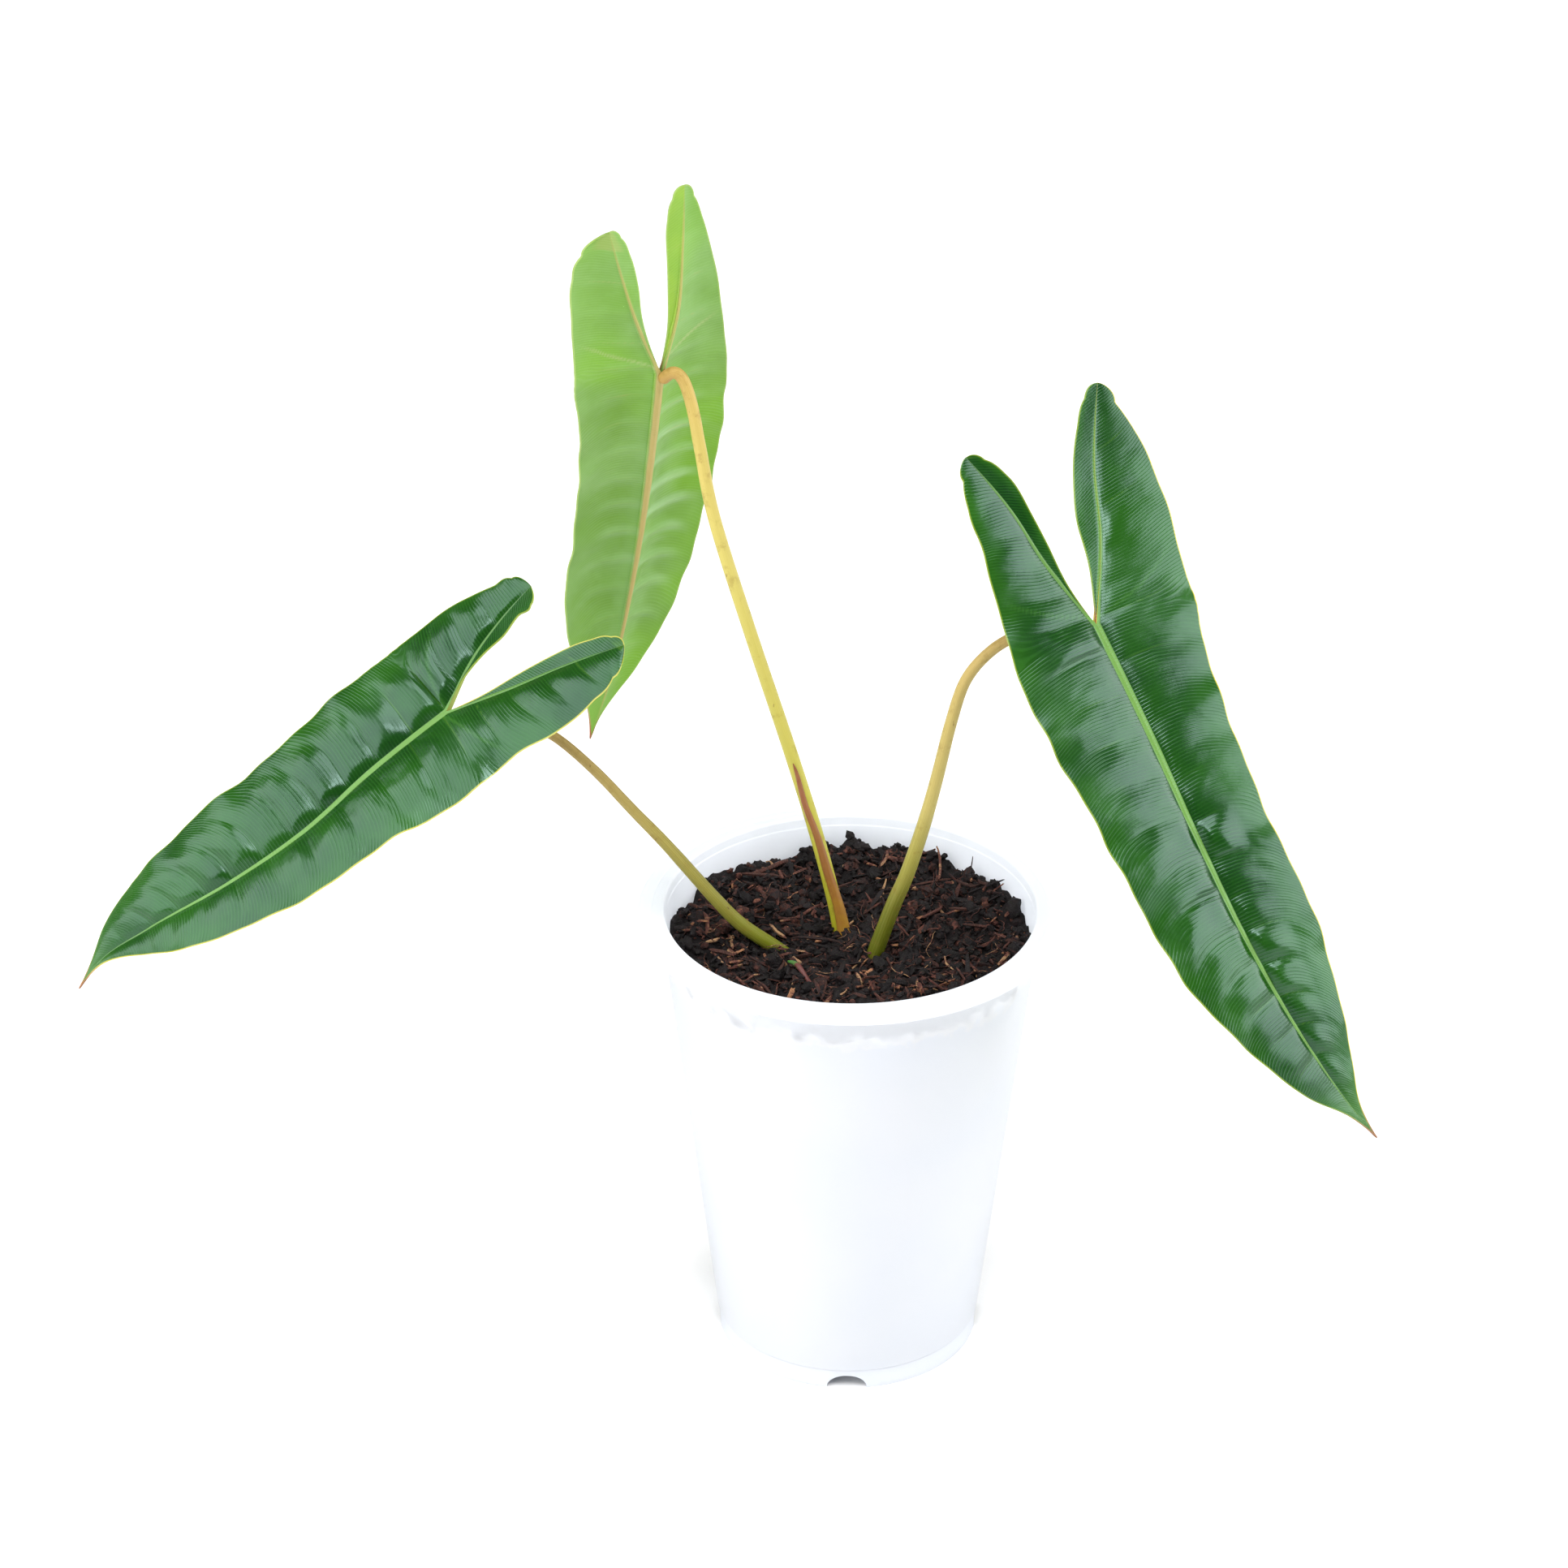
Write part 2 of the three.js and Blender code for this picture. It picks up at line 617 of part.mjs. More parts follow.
// A solid of even thickness from a sheet, with its ribs raised on the underside. The grown solid is
// larger all round, past the sheet's edge too.
function thickened(sheet, grow = 0) {
  const count = sheet.points.length;
  const surface = triangles(sheet.points, sheet.index);
  surface.computeVertexNormals();
  const { normal } = surface.attributes;
  const normals = sheet.points.map((_, i) => new THREE.Vector3().fromBufferAttribute(normal, i));
  const edges = openEdges(sheet.index);
  const outward = sheet.points.map(() => new THREE.Vector3());
  edges.forEach(([from, to]) => {
    const along = sheet.points[to].clone().sub(sheet.points[from]).normalize();
    outward[from].add(along.clone().cross(normals[from]));
    outward[to].add(along.clone().cross(normals[to]));
  });
  const above = BLADE.thickness / 2 + grow;
  const top = [];
  const bottom = [];
  sheet.points.forEach((point, i) => {
    const place = point.clone().addScaledVector(outward[i].normalize(), grow);
    top.push(place.clone().addScaledVector(normals[i], above));
    bottom.push(place.clone().addScaledVector(normals[i], -above - sheet.heights[i]));
  });
  const index = [...sheet.index];
  for (let i = 0; i < sheet.index.length; i += 3) {
    const [a, b, c] = sheet.index.slice(i, i + 3);
    index.push(count + a, count + c, count + b);
  }
  edges.forEach(([from, to]) => {
    index.push(from, count + from, to);
    index.push(to, count + from, count + to);
  });
  return toSolid(triangles([...top, ...bottom], index));
}

// Materials and assembly

function material(color, roughness) {
  return new THREE.MeshStandardMaterial({ color, roughness, metalness: 0 });
}

const MATERIALS = {
  pot: material(0xf4f6f9, 0.35),
  soil: material(0x2b1c16, 0.95),
  crown: material(0xb08a5c, 0.8),
  petiole: material(0xb5a03a, 0.5),
  blade: material(0x1f5a2c, 0.35),
  newLeaf: material(0xc2672a, 0.5),
  sprout: material(0x5fae3d, 0.5),
};

function piece(name, solid, finish) {
  const geometry = toGeometry(solid);
  geometry.computeVertexNormals();
  const mesh = new THREE.Mesh(geometry, finish);
  mesh.name = name;
  return mesh;
}

const plant = new THREE.Group();
plant.name = 'potted_philodendron_billietiae';

const stems = Object.values(LEAVES).map((leaf) => petioleTube(leaf, CLEARANCE));
stems.push(newLeafSolid(CLEARANCE), sproutSolid(CLEARANCE));

plant.add(piece('pot', potSolid(), MATERIALS.pot));
plant.add(piece('soil', soilSolid([crownSolid(CLEARANCE), ...stems]), MATERIALS.soil));

let crown = crownSolid();
stems.forEach((stem) => {
  crown = crown.subtract(stem);
});
plant.add(piece('crown', crown, MATERIALS.crown));

Object.entries(LEAVES).forEach(([name, leaf]) => {
  const sheet = bladeSheet(leaf);
  const petiole = petioleTube(leaf)
    .subtract(thickened(sheet, CLEARANCE))
    .subtract(newLeafSolid(CLEARANCE));
  plant.add(piece(`petiole_${name}`, petiole, MATERIALS.petiole));
  plant.add(piece(`blade_${name}`, thickened(sheet), MATERIALS.blade));
});

plant.add(piece('new_leaf', newLeafSolid(), MATERIALS.newLeaf));
plant.add(piece('sprout', sproutSolid(), MATERIALS.sprout));

export default plant;
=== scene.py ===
"""A young Philodendron billietiae in a white nursery pot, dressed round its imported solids.

Shapes are worked out in millimetres and put into the meshes in metres. The origin is the centre of
the pot's foot, +Z is up, and the plant is laid out as seen from -Y, with +X to the right."""
import math

import bpy
import numpy as np
from bpy.props import FloatProperty, FloatVectorProperty, IntProperty, PointerProperty
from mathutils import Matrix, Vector


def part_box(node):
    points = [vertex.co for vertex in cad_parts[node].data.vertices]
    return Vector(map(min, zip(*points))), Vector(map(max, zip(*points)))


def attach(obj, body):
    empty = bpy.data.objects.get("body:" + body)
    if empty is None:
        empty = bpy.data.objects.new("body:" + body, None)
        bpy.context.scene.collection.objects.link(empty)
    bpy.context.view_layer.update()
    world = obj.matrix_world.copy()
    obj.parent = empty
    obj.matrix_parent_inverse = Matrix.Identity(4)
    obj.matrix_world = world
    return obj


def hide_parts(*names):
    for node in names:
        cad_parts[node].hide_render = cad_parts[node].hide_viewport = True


bl_info = {
    "name": "Potted Philodendron billietiae",
    "version": (1, 0, 0),
    "blender": (4, 5, 0),
    "location": "View3D > Sidebar > Potted Plant",
    "description": "Builds a potted Philodendron billietiae from a packed frame",
    "category": "Add Mesh",
}

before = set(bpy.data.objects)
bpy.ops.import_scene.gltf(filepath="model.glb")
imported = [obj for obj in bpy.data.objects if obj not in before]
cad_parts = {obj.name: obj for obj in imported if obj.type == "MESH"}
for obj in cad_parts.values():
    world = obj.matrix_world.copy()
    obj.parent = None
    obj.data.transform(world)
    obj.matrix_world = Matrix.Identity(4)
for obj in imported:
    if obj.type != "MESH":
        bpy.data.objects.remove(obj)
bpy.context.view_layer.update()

MM = 0.001

# The soil's mean level inside the pot, and the crown's place across it, in millimetres.
SOIL_LEVEL = 147
CROWN_X, CROWN_Y = -3, 3

# The sinus and its margin redden to this colour.
SINUS_RED = (0.36, 0.10, 0.05)

# What the skins of a blade's two faces don't share.
UPPER = {
    "ior": 1.5, "hairs": (0.18, (0.035, 0.15, 0.02)), "basal": (0.3, (0.05, 0.16, 0.02)),
    "plain_edge": (0.06, 0.19, 0.02), "roughness": (0.19, 0.28), "relief": 0.00005,
}
UNDERSIDE = {
    "ior": 1.43, "hairs": (0.16, (0.30, 0.47, 0.16)), "basal": (0.55, (0.36, 0.42, 0.17)),
    "plain_edge": (0.27, 0.42, 0.12), "roughness": (0.38, 0.5), "relief": 0.00004,
}

# Half-widths of a blade are given at these stations: -1 is the end of a basal lobe, 0 the sinus, where
# the petiole joins, and 1 the drip tip. Inner widths lie between a lobe's rib and the gap.
OUTER_STATIONS = [-1, -0.93, -0.8, -0.55, -0.3, 0, 0.15, 0.3, 0.45, 0.6, 0.75, 0.86, 0.94, 1]
INNER_STATIONS = [-1, -0.93, -0.8, -0.6, -0.4, -0.2, 0]
MIDRIB_STATIONS = [0, 0.2, 0.4, 0.6, 0.8, 0.93, 1]
LOBE_STATIONS = [0, 1 / 3, 2 / 3, 1]

# Half the width of the rib at stations of its own. Each leaf multiplies it by its "rib".
RIB_STATIONS = [-1, -0.8, -0.12, 0, 0.25, 0.55, 0.85, 1]
RIB_HALF_WIDTHS = [0.2, 0.45, 0.85, 1.6, 1.45, 1.0, 0.45, 0.15]

# A half of a blade has these where it gives nothing else. Cup is how it rises from the midrib and droops
# to the margin. Flap is how the strip inside a lobe's rib rises, and sunlit how much painted sunlight makes
# it yellower. Swell is the shares of the width where the swelling between side veins is full, begins to
# fade and ends.
HALF_DEFAULTS = {"cup": (0.45, 0.36), "flap": 0.3, "swell": (0.22, 0.35, 0.85), "sunlit": 0.0}

# Each leaf in millimetres: left and right are as seen on its upper face with the drip tip hanging down,
# and face is the way the upper face looks. Midrib and lobe are lines from the sinus to the drip tip and to
# the end of a lobe. Veins are the places of the side veins along them, and bulges the swelling between
# each and the next. Gold is how yellow the outer margin is, and gap_gold the margin at the gap. A petiole
# runs from the crown to the sinus, with its radius low down and at the top.
LEAVES = {
    "right": {
        "face": (0.4, -0.72, 0.56),
        "midrib": [
            (76.5, -12, 272), (93, -29.5, 243.5), (108.5, -46, 214.5), (125, -60, 184.5),
            (144.5, -69.5, 153), (159.5, -71.5, 131), (168.5, -71.5, 119.5),
        ],
        "left": {
            "lobe": [(76.5, -12, 272), (61, -6, 289), (49, 0, 306), (35, 4, 322)],
            "outer": [0, 6.5, 12.5, 17.5, 24.5, 34.5, 35, 32, 30, 27.5, 19, 11, 2.5, 0],
            "inner": [0, 4, 6, 5, 4, 1.5, 0],
            "cup": (0.32, 0.23),
            "swell": (0.14, 0.4, 0.95),
            "gold": 0.25,
            "veins": [
                -67, -50, -36, -24, -13, -3, 9, 24, 38, 52, 66, 80, 93, 106, 118, 130, 142, 154, 168, 182,
            ],
            "bulges": [
                0.1, 0.2, 0.4, 0.3, 0.4, 1.4, 0.4, 0.3, 0.3, 0.5,
                0.7, 0.9, 0.9, 0.9, 0.9, 0.8, 0.7, 0.5, 0.3,
            ],
        },
        "right": {
            "lobe": [(76.5, -12, 272), (78, 5, 293), (76, 20, 313), (77, 35, 334)],
            "outer": [0, 6.5, 15, 22.5, 27, 34.5, 29, 26.5, 25.5, 25.5, 19.5, 11.5, 3, 0],
            "inner": [0, 4, 6, 7.5, 7.5, 3.2, 0],
            "gold": 1.0,
            "gap_gold": 0.2,
            "cup": (0.3, 0.22),
            "flap": -0.05,
            "swell": (0.15, 0.22, 0.62),
            "veins": [
                -78, -56, -38, -24, -12, -2, 14, 36, 56, 70, 83, 96, 108, 120, 131, 142, 153, 165, 180,
            ],
            "bulges": [
                0.1, 0.2, 0.3, 0.2, 0.3, 0.7, 0.3, 0.3, 0.4, 1.7, 0.7, 0.8, 1.8, 1.7, 0.8, 1.4, 0.8, 0.4,
            ],
        },
        "rib": 0.85,
        "petiole": [
            (1, -3, 127), (5, -5, 136), (8, -6, 147), (14, -5.5, 165.5), (18.5, -5, 177.5),
            (23.5, -4, 194.5), (27.5, -3, 211), (32, -2, 232), (36.5, -1, 246.5), (44.5, 0, 256.5),
            (54, 0, 262.5), (65, -2.5, 267), (75.5, -9.5, 269),
        ],
        "petiole_radius": (3.0, 1.9),
    },
    "left": {
        "face": (-0.38, -0.64, 0.66),
        "midrib": [
            (-129.5, -6, 236), (-153, -15, 219.5), (-175, -23.5, 201.5), (-200, -27, 184),
            (-227.5, -24, 165), (-245, -20, 150), (-252, -21, 140.5),
        ],
        "left": {
            "lobe": [(-129.5, -6, 236), (-122, 4, 249), (-113, 11, 260), (-103, 14, 271)],
            "outer": [0, 7, 10, 17, 23, 29, 29, 28.5, 28, 26.5, 20, 12.5, 2.5, 0],
            "inner": [0, 6, 5, 5.5, 3, 0.5, 0],
            "gold": 0.25,
            "swell": (0.14, 0.4, 0.92),
            "veins": [-45, -32, -20, -9, 0, 13, 27, 40, 52, 64, 76, 88, 99, 110, 121, 133, 146],
            "bulges": [0.5, 0.7, 1.0, 1.5, 1.7, 1.2, 0.8, 1.4, 1.3, 0.8, 1.3, 1.1, 0.9, 0.9, 0.6, 0.3],
        },
        "right": {
            "lobe": [(-129.5, -6, 236), (-110, -8, 245), (-91, -10, 255), (-72, -15, 265)],
            "outer": [0, 10, 16, 21.5, 23, 31, 29.5, 24, 21.5, 17.5, 12.5, 5, 1, 0],
            "inner": [0, 4.5, 6, 5.5, 4, 1.5, 0],
            "flap": -0.15,
            "swell": (0.16, 0.4, 0.92),
            "gold": 0.7,
            "veins": [-63, -47, -34, -22, -10, 2, 16, 31, 46, 60, 74, 88, 101, 114, 127, 142],
            "bulges": [0.3, 0.6, 0.8, 0.8, 0.9, 0.7, 0.8, 0.7, 0.6, 0.8, 0.7, 0.7, 0.6, 0.5, 0.3],
        },
        "rib": 0.62,
        "petiole": [
            (-11, 1, 128), (-16.5, -1.5, 139.5), (-24.5, -2, 147), (-36, -2, 156), (-45.5, -2, 167),
            (-60, -1, 185), (-70.5, 0.5, 196.5), (-83.5, 1.5, 211.5), (-96.5, 2, 223.5),
            (-107, 1.5, 227.5), (-117.5, 0.5, 230.5), (-129, -4, 233),
        ],
        "petiole_radius": (2.75, 1.65),
    },
    "back": {
        "face": (-0.45, 0.84, 0.29),
        "midrib": [
            (-62, 40, 335), (-65.5, 53, 302.5), (-69.5, 64.3, 270.5), (-74.5, 71.7, 239.5),
            (-80.5, 74.7, 210.5), (-85.5, 72.2, 194.5), (-88.5, 70, 186),
        ],
        "left": {
            "lobe": [(-62, 40, 335), (-56, 36, 358), (-54, 31, 381), (-53, 26, 403.8)],
            "outer": [0, 3.6, 7, 12, 17, 25, 26.5, 26, 23.5, 20.5, 13.5, 5.5, 1, 0],
            "inner": [0, 3.5, 5, 4.5, 3.5, 1.5, 0],
            "gold": 0.12,
            "sunlit": 0.8,
            "veins": [-70, -50, -34, -18, -4, 9, 21, 33, 45, 57, 68, 79, 90, 101, 112, 124, 138],
            "bulges": [0.2, 0.3, 0.5, 0.5, 0.5, 0.8, 0.9, 1.0, 1.0, 1.0, 1.0, 1.0, 0.9, 0.7, 0.5, 0.3],
        },
        "right": {
            "lobe": [(-62, 40, 335), (-68, 32, 353), (-72, 24, 371), (-76, 16, 392)],
            "outer": [0, 10.2, 15.6, 19.5, 23, 28, 25, 24, 23.5, 23, 17, 10, 3.5, 0],
            "inner": [0, 3.5, 5, 4.5, 2.5, 1, 0],
            "gold": 0.12,
            "veins": [-56, -42, -28, -14, -2, 11, 24, 37, 50, 62, 74, 86, 98, 110, 123, 138],
            "bulges": [0.2, 0.3, 0.4, 0.4, 0.5, 0.4, 0.4, 0.5, 0.5, 0.6, 0.7, 0.7, 0.6, 0.4, 0.3],
        },
        "rib": 0.72,
        "petiole": [
            (-4, 10.5, 128), (-3.5, 10.5, 138), (-3.5, 10, 147), (-6, 11, 160.5), (-12, 13, 184),
            (-20.5, 17, 212), (-33, 23, 250.5), (-44.5, 30, 287.5), (-49, 33.5, 310.5), (-51, 35, 322),
            (-53, 36, 330), (-55, 36.5, 334.5), (-57.5, 36.5, 336), (-60.5, 38, 333.5),
        ],
        "petiole_radius": (2.6, 2.0),
    },
}

# Shares of the way along each petiole and its colours there.
PETIOLE_COLOURS = {
    "right": [
        (0.0, (0.04, 0.055, 0.001)), (0.22, (0.09, 0.105, 0.002)), (0.36, (0.24, 0.22, 0.03)),
        (0.45, (0.38, 0.31, 0.09)), (0.72, (0.36, 0.25, 0.085)), (1.0, (0.37, 0.20, 0.065)),
    ],
    "left": [
        (0.0, (0.07, 0.10, 0.001)), (0.2, (0.115, 0.135, 0.002)), (0.38, (0.19, 0.175, 0.02)),
        (0.6, (0.28, 0.20, 0.06)), (0.8, (0.31, 0.18, 0.06)), (1.0, (0.34, 0.17, 0.05)),
    ],
    "back": [
        (0.0, (0.34, 0.20, 0.02)), (0.1, (0.36, 0.34, 0.012)), (0.25, (0.40, 0.39, 0.025)),
        (0.5, (0.47, 0.40, 0.10)), (0.75, (0.43, 0.30, 0.08)), (1.0, (0.36, 0.20, 0.05)),
    ],
}

NEW_LEAF_PATH = [
    (-1.5, 3, 129), (-1.5, 4.5, 138), (-2, 6.5, 147.5), (-4, 7.5, 158), (-7.5, 9, 169.5),
    (-11, 10.5, 182), (-15, 12, 193), (-17.5, 13, 203), (-19, 13.5, 207.5),
]
NEW_LEAF_RADII = [2.2, 2.3, 2.2, 1.8, 1.5, 1.2, 1.0, 0.7, 0.15]

# The sprout's places across the soil, and its heights above the soil's surface.
SPROUT_PATH = [(-9.5, -32.5, -3), (-11.5, -29.5, 0.8), (-14, -25, 1.6), (-17, -20, 2.0), (-20, -15.5, 2.4)]
SPROUT_RADII = [0.75, 0.75, 0.7, 0.9, 0.4]

# Shares of the way along the new leaf and the sprout, and their colours there.
NEW_LEAF_COLOURS = [
    (0.0, (0.34, 0.19, 0.02)), (0.3, (0.33, 0.17, 0.018)), (0.5, (0.26, 0.11, 0.02)),
    (0.8, (0.27, 0.10, 0.035)), (1.0, (0.22, 0.06, 0.02)),
]
SPROUT_COLOURS = [
    (0.0, (0.06, 0.016, 0.016)), (0.74, (0.10, 0.026, 0.028)), (0.82, (0.05, 0.16, 0.035)),
    (1.0, (0.04, 0.20, 0.03)),
]

# Single sticks on the soil: two ends with heights above it, radius and tone.
STICKS = [
    ((-23, 14, 0), (-9.5, 26, 0), 0.55, 0.8), ((-33.5, 39, 1), (-19, 49, 1), 0.75, 0.55),
    ((48.5, -17, 0), (55.5, 4, 0), 0.7, 0.88), ((18.5, 49, 1), (28.5, 50.5, 1), 0.5, 0.6),
    ((29.5, 36, 0), (29, 49.5, 2.5), 0.45, 0.85), ((40, 40.5, 0), (41, 42, 6.5), 0.22, 0.3),
    ((8.5, 30, 0), (12, 39.5, 1), 0.4, 0.98), ((31, -12, 0.5), (34, -21, 0), 0.35, 1),
    ((22, -25.5, 0.5), (23, -34.5, 0), 0.4, 0.9), ((-4.5, -35, 0), (-1, -32, 0), 0.35, 1),
    ((-57, 0, 0), (-42, 0.5, 0), 0.5, 0.8), ((-45.5, -8, 0.5), (-39, -16, 0), 0.4, 0.92),
    ((-2, -15.5, 0.5), (3.5, -12, 0.5), 0.5, 0.75), ((11, -4.5, 0.5), (16, -17.5, 0), 0.4, 0.35),
    ((-37, -25, 0), (-29.5, -21, 0), 0.45, 0.85), ((35.5, 33.5, 0.5), (43, 29, 0.5), 0.5, 0.3),
]


# Numbers and curves


def unit(v):
    """Each vector divided by its length, and a vector without length left at zero."""
    return v / np.maximum(np.linalg.norm(v, axis=-1, keepdims=True), 1e-12)


def ease(low, high, x):
    """0 below low, 1 above high, and 3t^2 - 2t^3 between, where t is the share of the way."""
    t = np.clip((np.asarray(x, float) - low) / (high - low), 0, 1)
    return t * t * (3 - 2 * t)


def through(stations, values, u):
    """The cubic through values at uneven stations. Each inner slope is the mean of the slopes on its two
    sides, each weighted by the other's span. An end slope is 1.5 times its own span's, less half the
    next."""
    x = np.asarray(stations, float)
    y = np.asarray(values, float).reshape(len(x), -1)
    span = np.diff(x)[:, None]
    slope = np.diff(y, axis=0) / span
    inner = (slope[:-1] * span[1:] + slope[1:] * span[:-1]) / (span[:-1] + span[1:])
    start = 1.5 * slope[:1] - 0.5 * inner[:1]
    end = 1.5 * slope[-1:] - 0.5 * inner[-1:]
    tangent = np.concatenate([start, inner, end])
    u = np.asarray(u, float)
    i = np.clip(np.searchsorted(x, u, side="right") - 1, 0, len(x) - 2)
    t = ((u - x[i]) / span[i, 0])[..., None]
    found = (
        (1 + 2 * t) * (1 - t) ** 2 * y[i]
        + t * (1 - t) ** 2 * span[i] * tangent[i]
        + t * t * (3 - 2 * t) * y[i + 1]
        + t * t * (t - 1) * span[i] * tangent[i + 1]
    )
    return found[..., 0] if np.ndim(values) == 1 else found


def lattice(x, y, cell, seed):
    """Smooth noise from -1 to 1: seeded random heights on a square lattice, eased between corners."""
    size = 64
    heights = np.random.default_rng(seed).uniform(-1, 1, (size, size))
    x, y = np.asarray(x) / cell, np.asarray(y) / cell
    i, j = np.floor(x).astype(int), np.floor(y).astype(int)
    s, t = ease(0, 1, x - i), ease(0, 1, y - j)
    at = lambda a, b: heights[(i + a) % size, (j + b) % size]
    near = at(0, 0) * (1 - s) + at(1, 0) * s
    far = at(0, 1) * (1 - s) + at(1, 1) * s
    return near * (1 - t) + far * t


# Meshes


def grid_quads(rows, columns, closed=False, first=0):
    """The quads of a grid of points in rows. A closed grid joins the last column to the first."""
    i = np.arange(rows - 1)[:, None]
    j = np.arange(columns if closed else columns - 1)[None, :]
    k = (j + 1) % columns
    corners = [i * columns + j, i * columns + k, (i + 1) * columns + k, (i + 1) * columns + j]
    return np.stack(corners, axis=-1).reshape(-1, 4) + first


def as_points(x, y, z):
    """Three grids of coordinates as one list of points."""
    return np.stack([x, y, z], axis=-1).reshape(-1, 3)


def weld(points, quads):
    """Joins points that lie together. Returns the kept points, the quads and the kept points' numbers."""
    keys = np.round(points / 1e-4).astype(np.int64)
    _, first, place = np.unique(keys, axis=0, return_index=True, return_inverse=True)
    return points[first], place.ravel()[quads], first


def whole(quads):
    """For each quad, which corners differ from the next one, and whether three or more do."""
    differs = quads != np.roll(quads, -1, axis=1)
    return differs, differs.sum(axis=1) >= 3


def point_normals(points, quads):
    """Each point's normal: the sum of the crossed diagonals of the quads round it, made unit."""
    corner = points[quads]
    crossed = np.cross(corner[:, 2] - corner[:, 0], corner[:, 3] - corner[:, 1])
    total = np.zeros_like(points)
    for k in range(4):
        np.add.at(total, quads[:, k], crossed)
    return unit(total)


def make_piece(name, points, quads, looks, kinds=None, marks=None, replaces=(), crease=40):
    """A piece from points in millimetres and quads, with a material number per quad in kinds and
    named numbers per point in marks. A quad with two corners together becomes a triangle."""
    differs, good = whole(quads)
    quads, differs = quads[good], differs[good]
    counts = differs.sum(axis=1)
    mesh = bpy.data.meshes.new(name)
    mesh.vertices.add(len(points))
    mesh.vertices.foreach_set("co", (points * MM).astype(np.float32).ravel())
    mesh.loops.add(int(counts.sum()))
    mesh.loops.foreach_set("vertex_index", quads[differs].astype(np.int32))
    mesh.polygons.add(len(quads))
    starts = np.concatenate([[0], np.cumsum(counts)[:-1]])
    mesh.polygons.foreach_set("loop_start", starts.astype(np.int32))
    if kinds is not None:
        mesh.polygons.foreach_set("material_index", np.asarray(kinds)[good].astype(np.int32))
    mesh.update(calc_edges=True)
    for key, values in (marks or {}).items():
        mark = mesh.attributes.new(key, "FLOAT", "POINT")
        mark.data.foreach_set("value", np.asarray(values, np.float32).ravel())
    for look in looks:
        mesh.materials.append(look)
    mesh.polygons.foreach_set("use_smooth", np.ones(len(quads), bool))
    mesh.set_sharp_from_angle(angle=math.radians(crease))
    mesh.validate()
    piece = bpy.data.objects.new(name, mesh)
    bpy.context.scene.collection.objects.link(piece)
    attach(piece, "root")
    if replaces:
        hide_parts(*replaces)
    return piece


def tube(path, radii, sides, rings, caps=5):
    """A round tube through path with half-round ends. The point at share u along and angle v round is the
    centre line's point plus r(u) cos v times a side direction plus r(u) sin v times the direction
    across both. Returns points, quads, the share along and the share round."""
    steps = np.linspace(0, 1, len(path))
    u = np.linspace(0, 1, rings)
    centre = through(steps, path, u)
    along = unit(np.gradient(centre, axis=0))
    radius = np.maximum(through(np.linspace(0, 1, len(radii)), radii, u), 0.02)
    turn = np.linspace(0, np.pi / 2, caps)[:-1]
    pad = len(turn)
    centre = np.concatenate([np.repeat(centre[:1], pad, 0), centre, np.repeat(centre[-1:], pad, 0)])
    along = np.concatenate([np.repeat(along[:1], pad, 0), along, np.repeat(along[-1:], pad, 0)])
    shift = np.concatenate([-radius[0] * np.cos(turn), np.zeros(rings), radius[-1] * np.cos(turn[::-1])])
    size = np.concatenate([radius[0] * np.sin(turn), radius, radius[-1] * np.sin(turn[::-1])])
    share = np.concatenate([np.zeros(pad), u, np.ones(pad)])
    reference = np.array([0.0, 1.0, 0.0])
    side = unit(reference - (along @ reference)[:, None] * along)
    across = np.cross(along, side)
    angle = np.linspace(0, 2 * np.pi, sides, endpoint=False)
    ring = side[:, None] * np.cos(angle)[None, :, None] + across[:, None] * np.sin(angle)[None, :, None]
    points = (centre + along * shift[:, None])[:, None] + ring * size[:, None, None]
    quads = grid_quads(len(share), sides, closed=True)
    around = np.broadcast_to(angle / (2 * np.pi), (len(share), sides))
    lengthwise = np.broadcast_to(share[:, None], (len(share), sides))
    return points.reshape(-1, 3), quads, lengthwise.ravel(), around.ravel()


def add_stalk(name, path, radii, sides, rings, look, node):
    """A tube through the path as a piece, with its shares along and round as marks."""
    points, quads, along, around = tube(path, radii, sides, rings)
    points, quads, kept = weld(points, quads)
    marks = {"along": along[kept], "around": around[kept]}
    make_piece(name, points, quads, [look], marks=marks, replaces=[node])


def scatter(template, quads, places, sizes, turns, jitter, rng):
    """Copies of one small closed shape. Each copy is the template times its sizes, with each point pushed
    in or out by up to the jitter, turned by three angles and set in its place."""
    count = len(places)
    shapes = template[None] * sizes[:, None, :]
    shapes = shapes * (1 + rng.uniform(-jitter, jitter, (count, len(template), 1)))
    cosine, sine = np.cos(turns), np.sin(turns)
    nil, one = np.zeros(count), np.ones(count)
    lay = lambda rows: np.array(rows).transpose(2, 0, 1)
    roll = lay([[one, nil, nil], [nil, cosine[:, 0], -sine[:, 0]], [nil, sine[:, 0], cosine[:, 0]]])
    pitch = lay([[cosine[:, 1], nil, sine[:, 1]], [nil, one, nil], [-sine[:, 1], nil, cosine[:, 1]]])
    yaw = lay([[cosine[:, 2], -sine[:, 2], nil], [sine[:, 2], cosine[:, 2], nil], [nil, nil, one]])
    turned = np.einsum("nij,njk,nkl,nml->nmi", yaw, pitch, roll, shapes)
    points = (turned + places[:, None]).reshape(-1, 3)
    copies = quads[None] + (np.arange(count) * len(template))[:, None, None]
    return points, copies.reshape(-1, 4)


# Materials


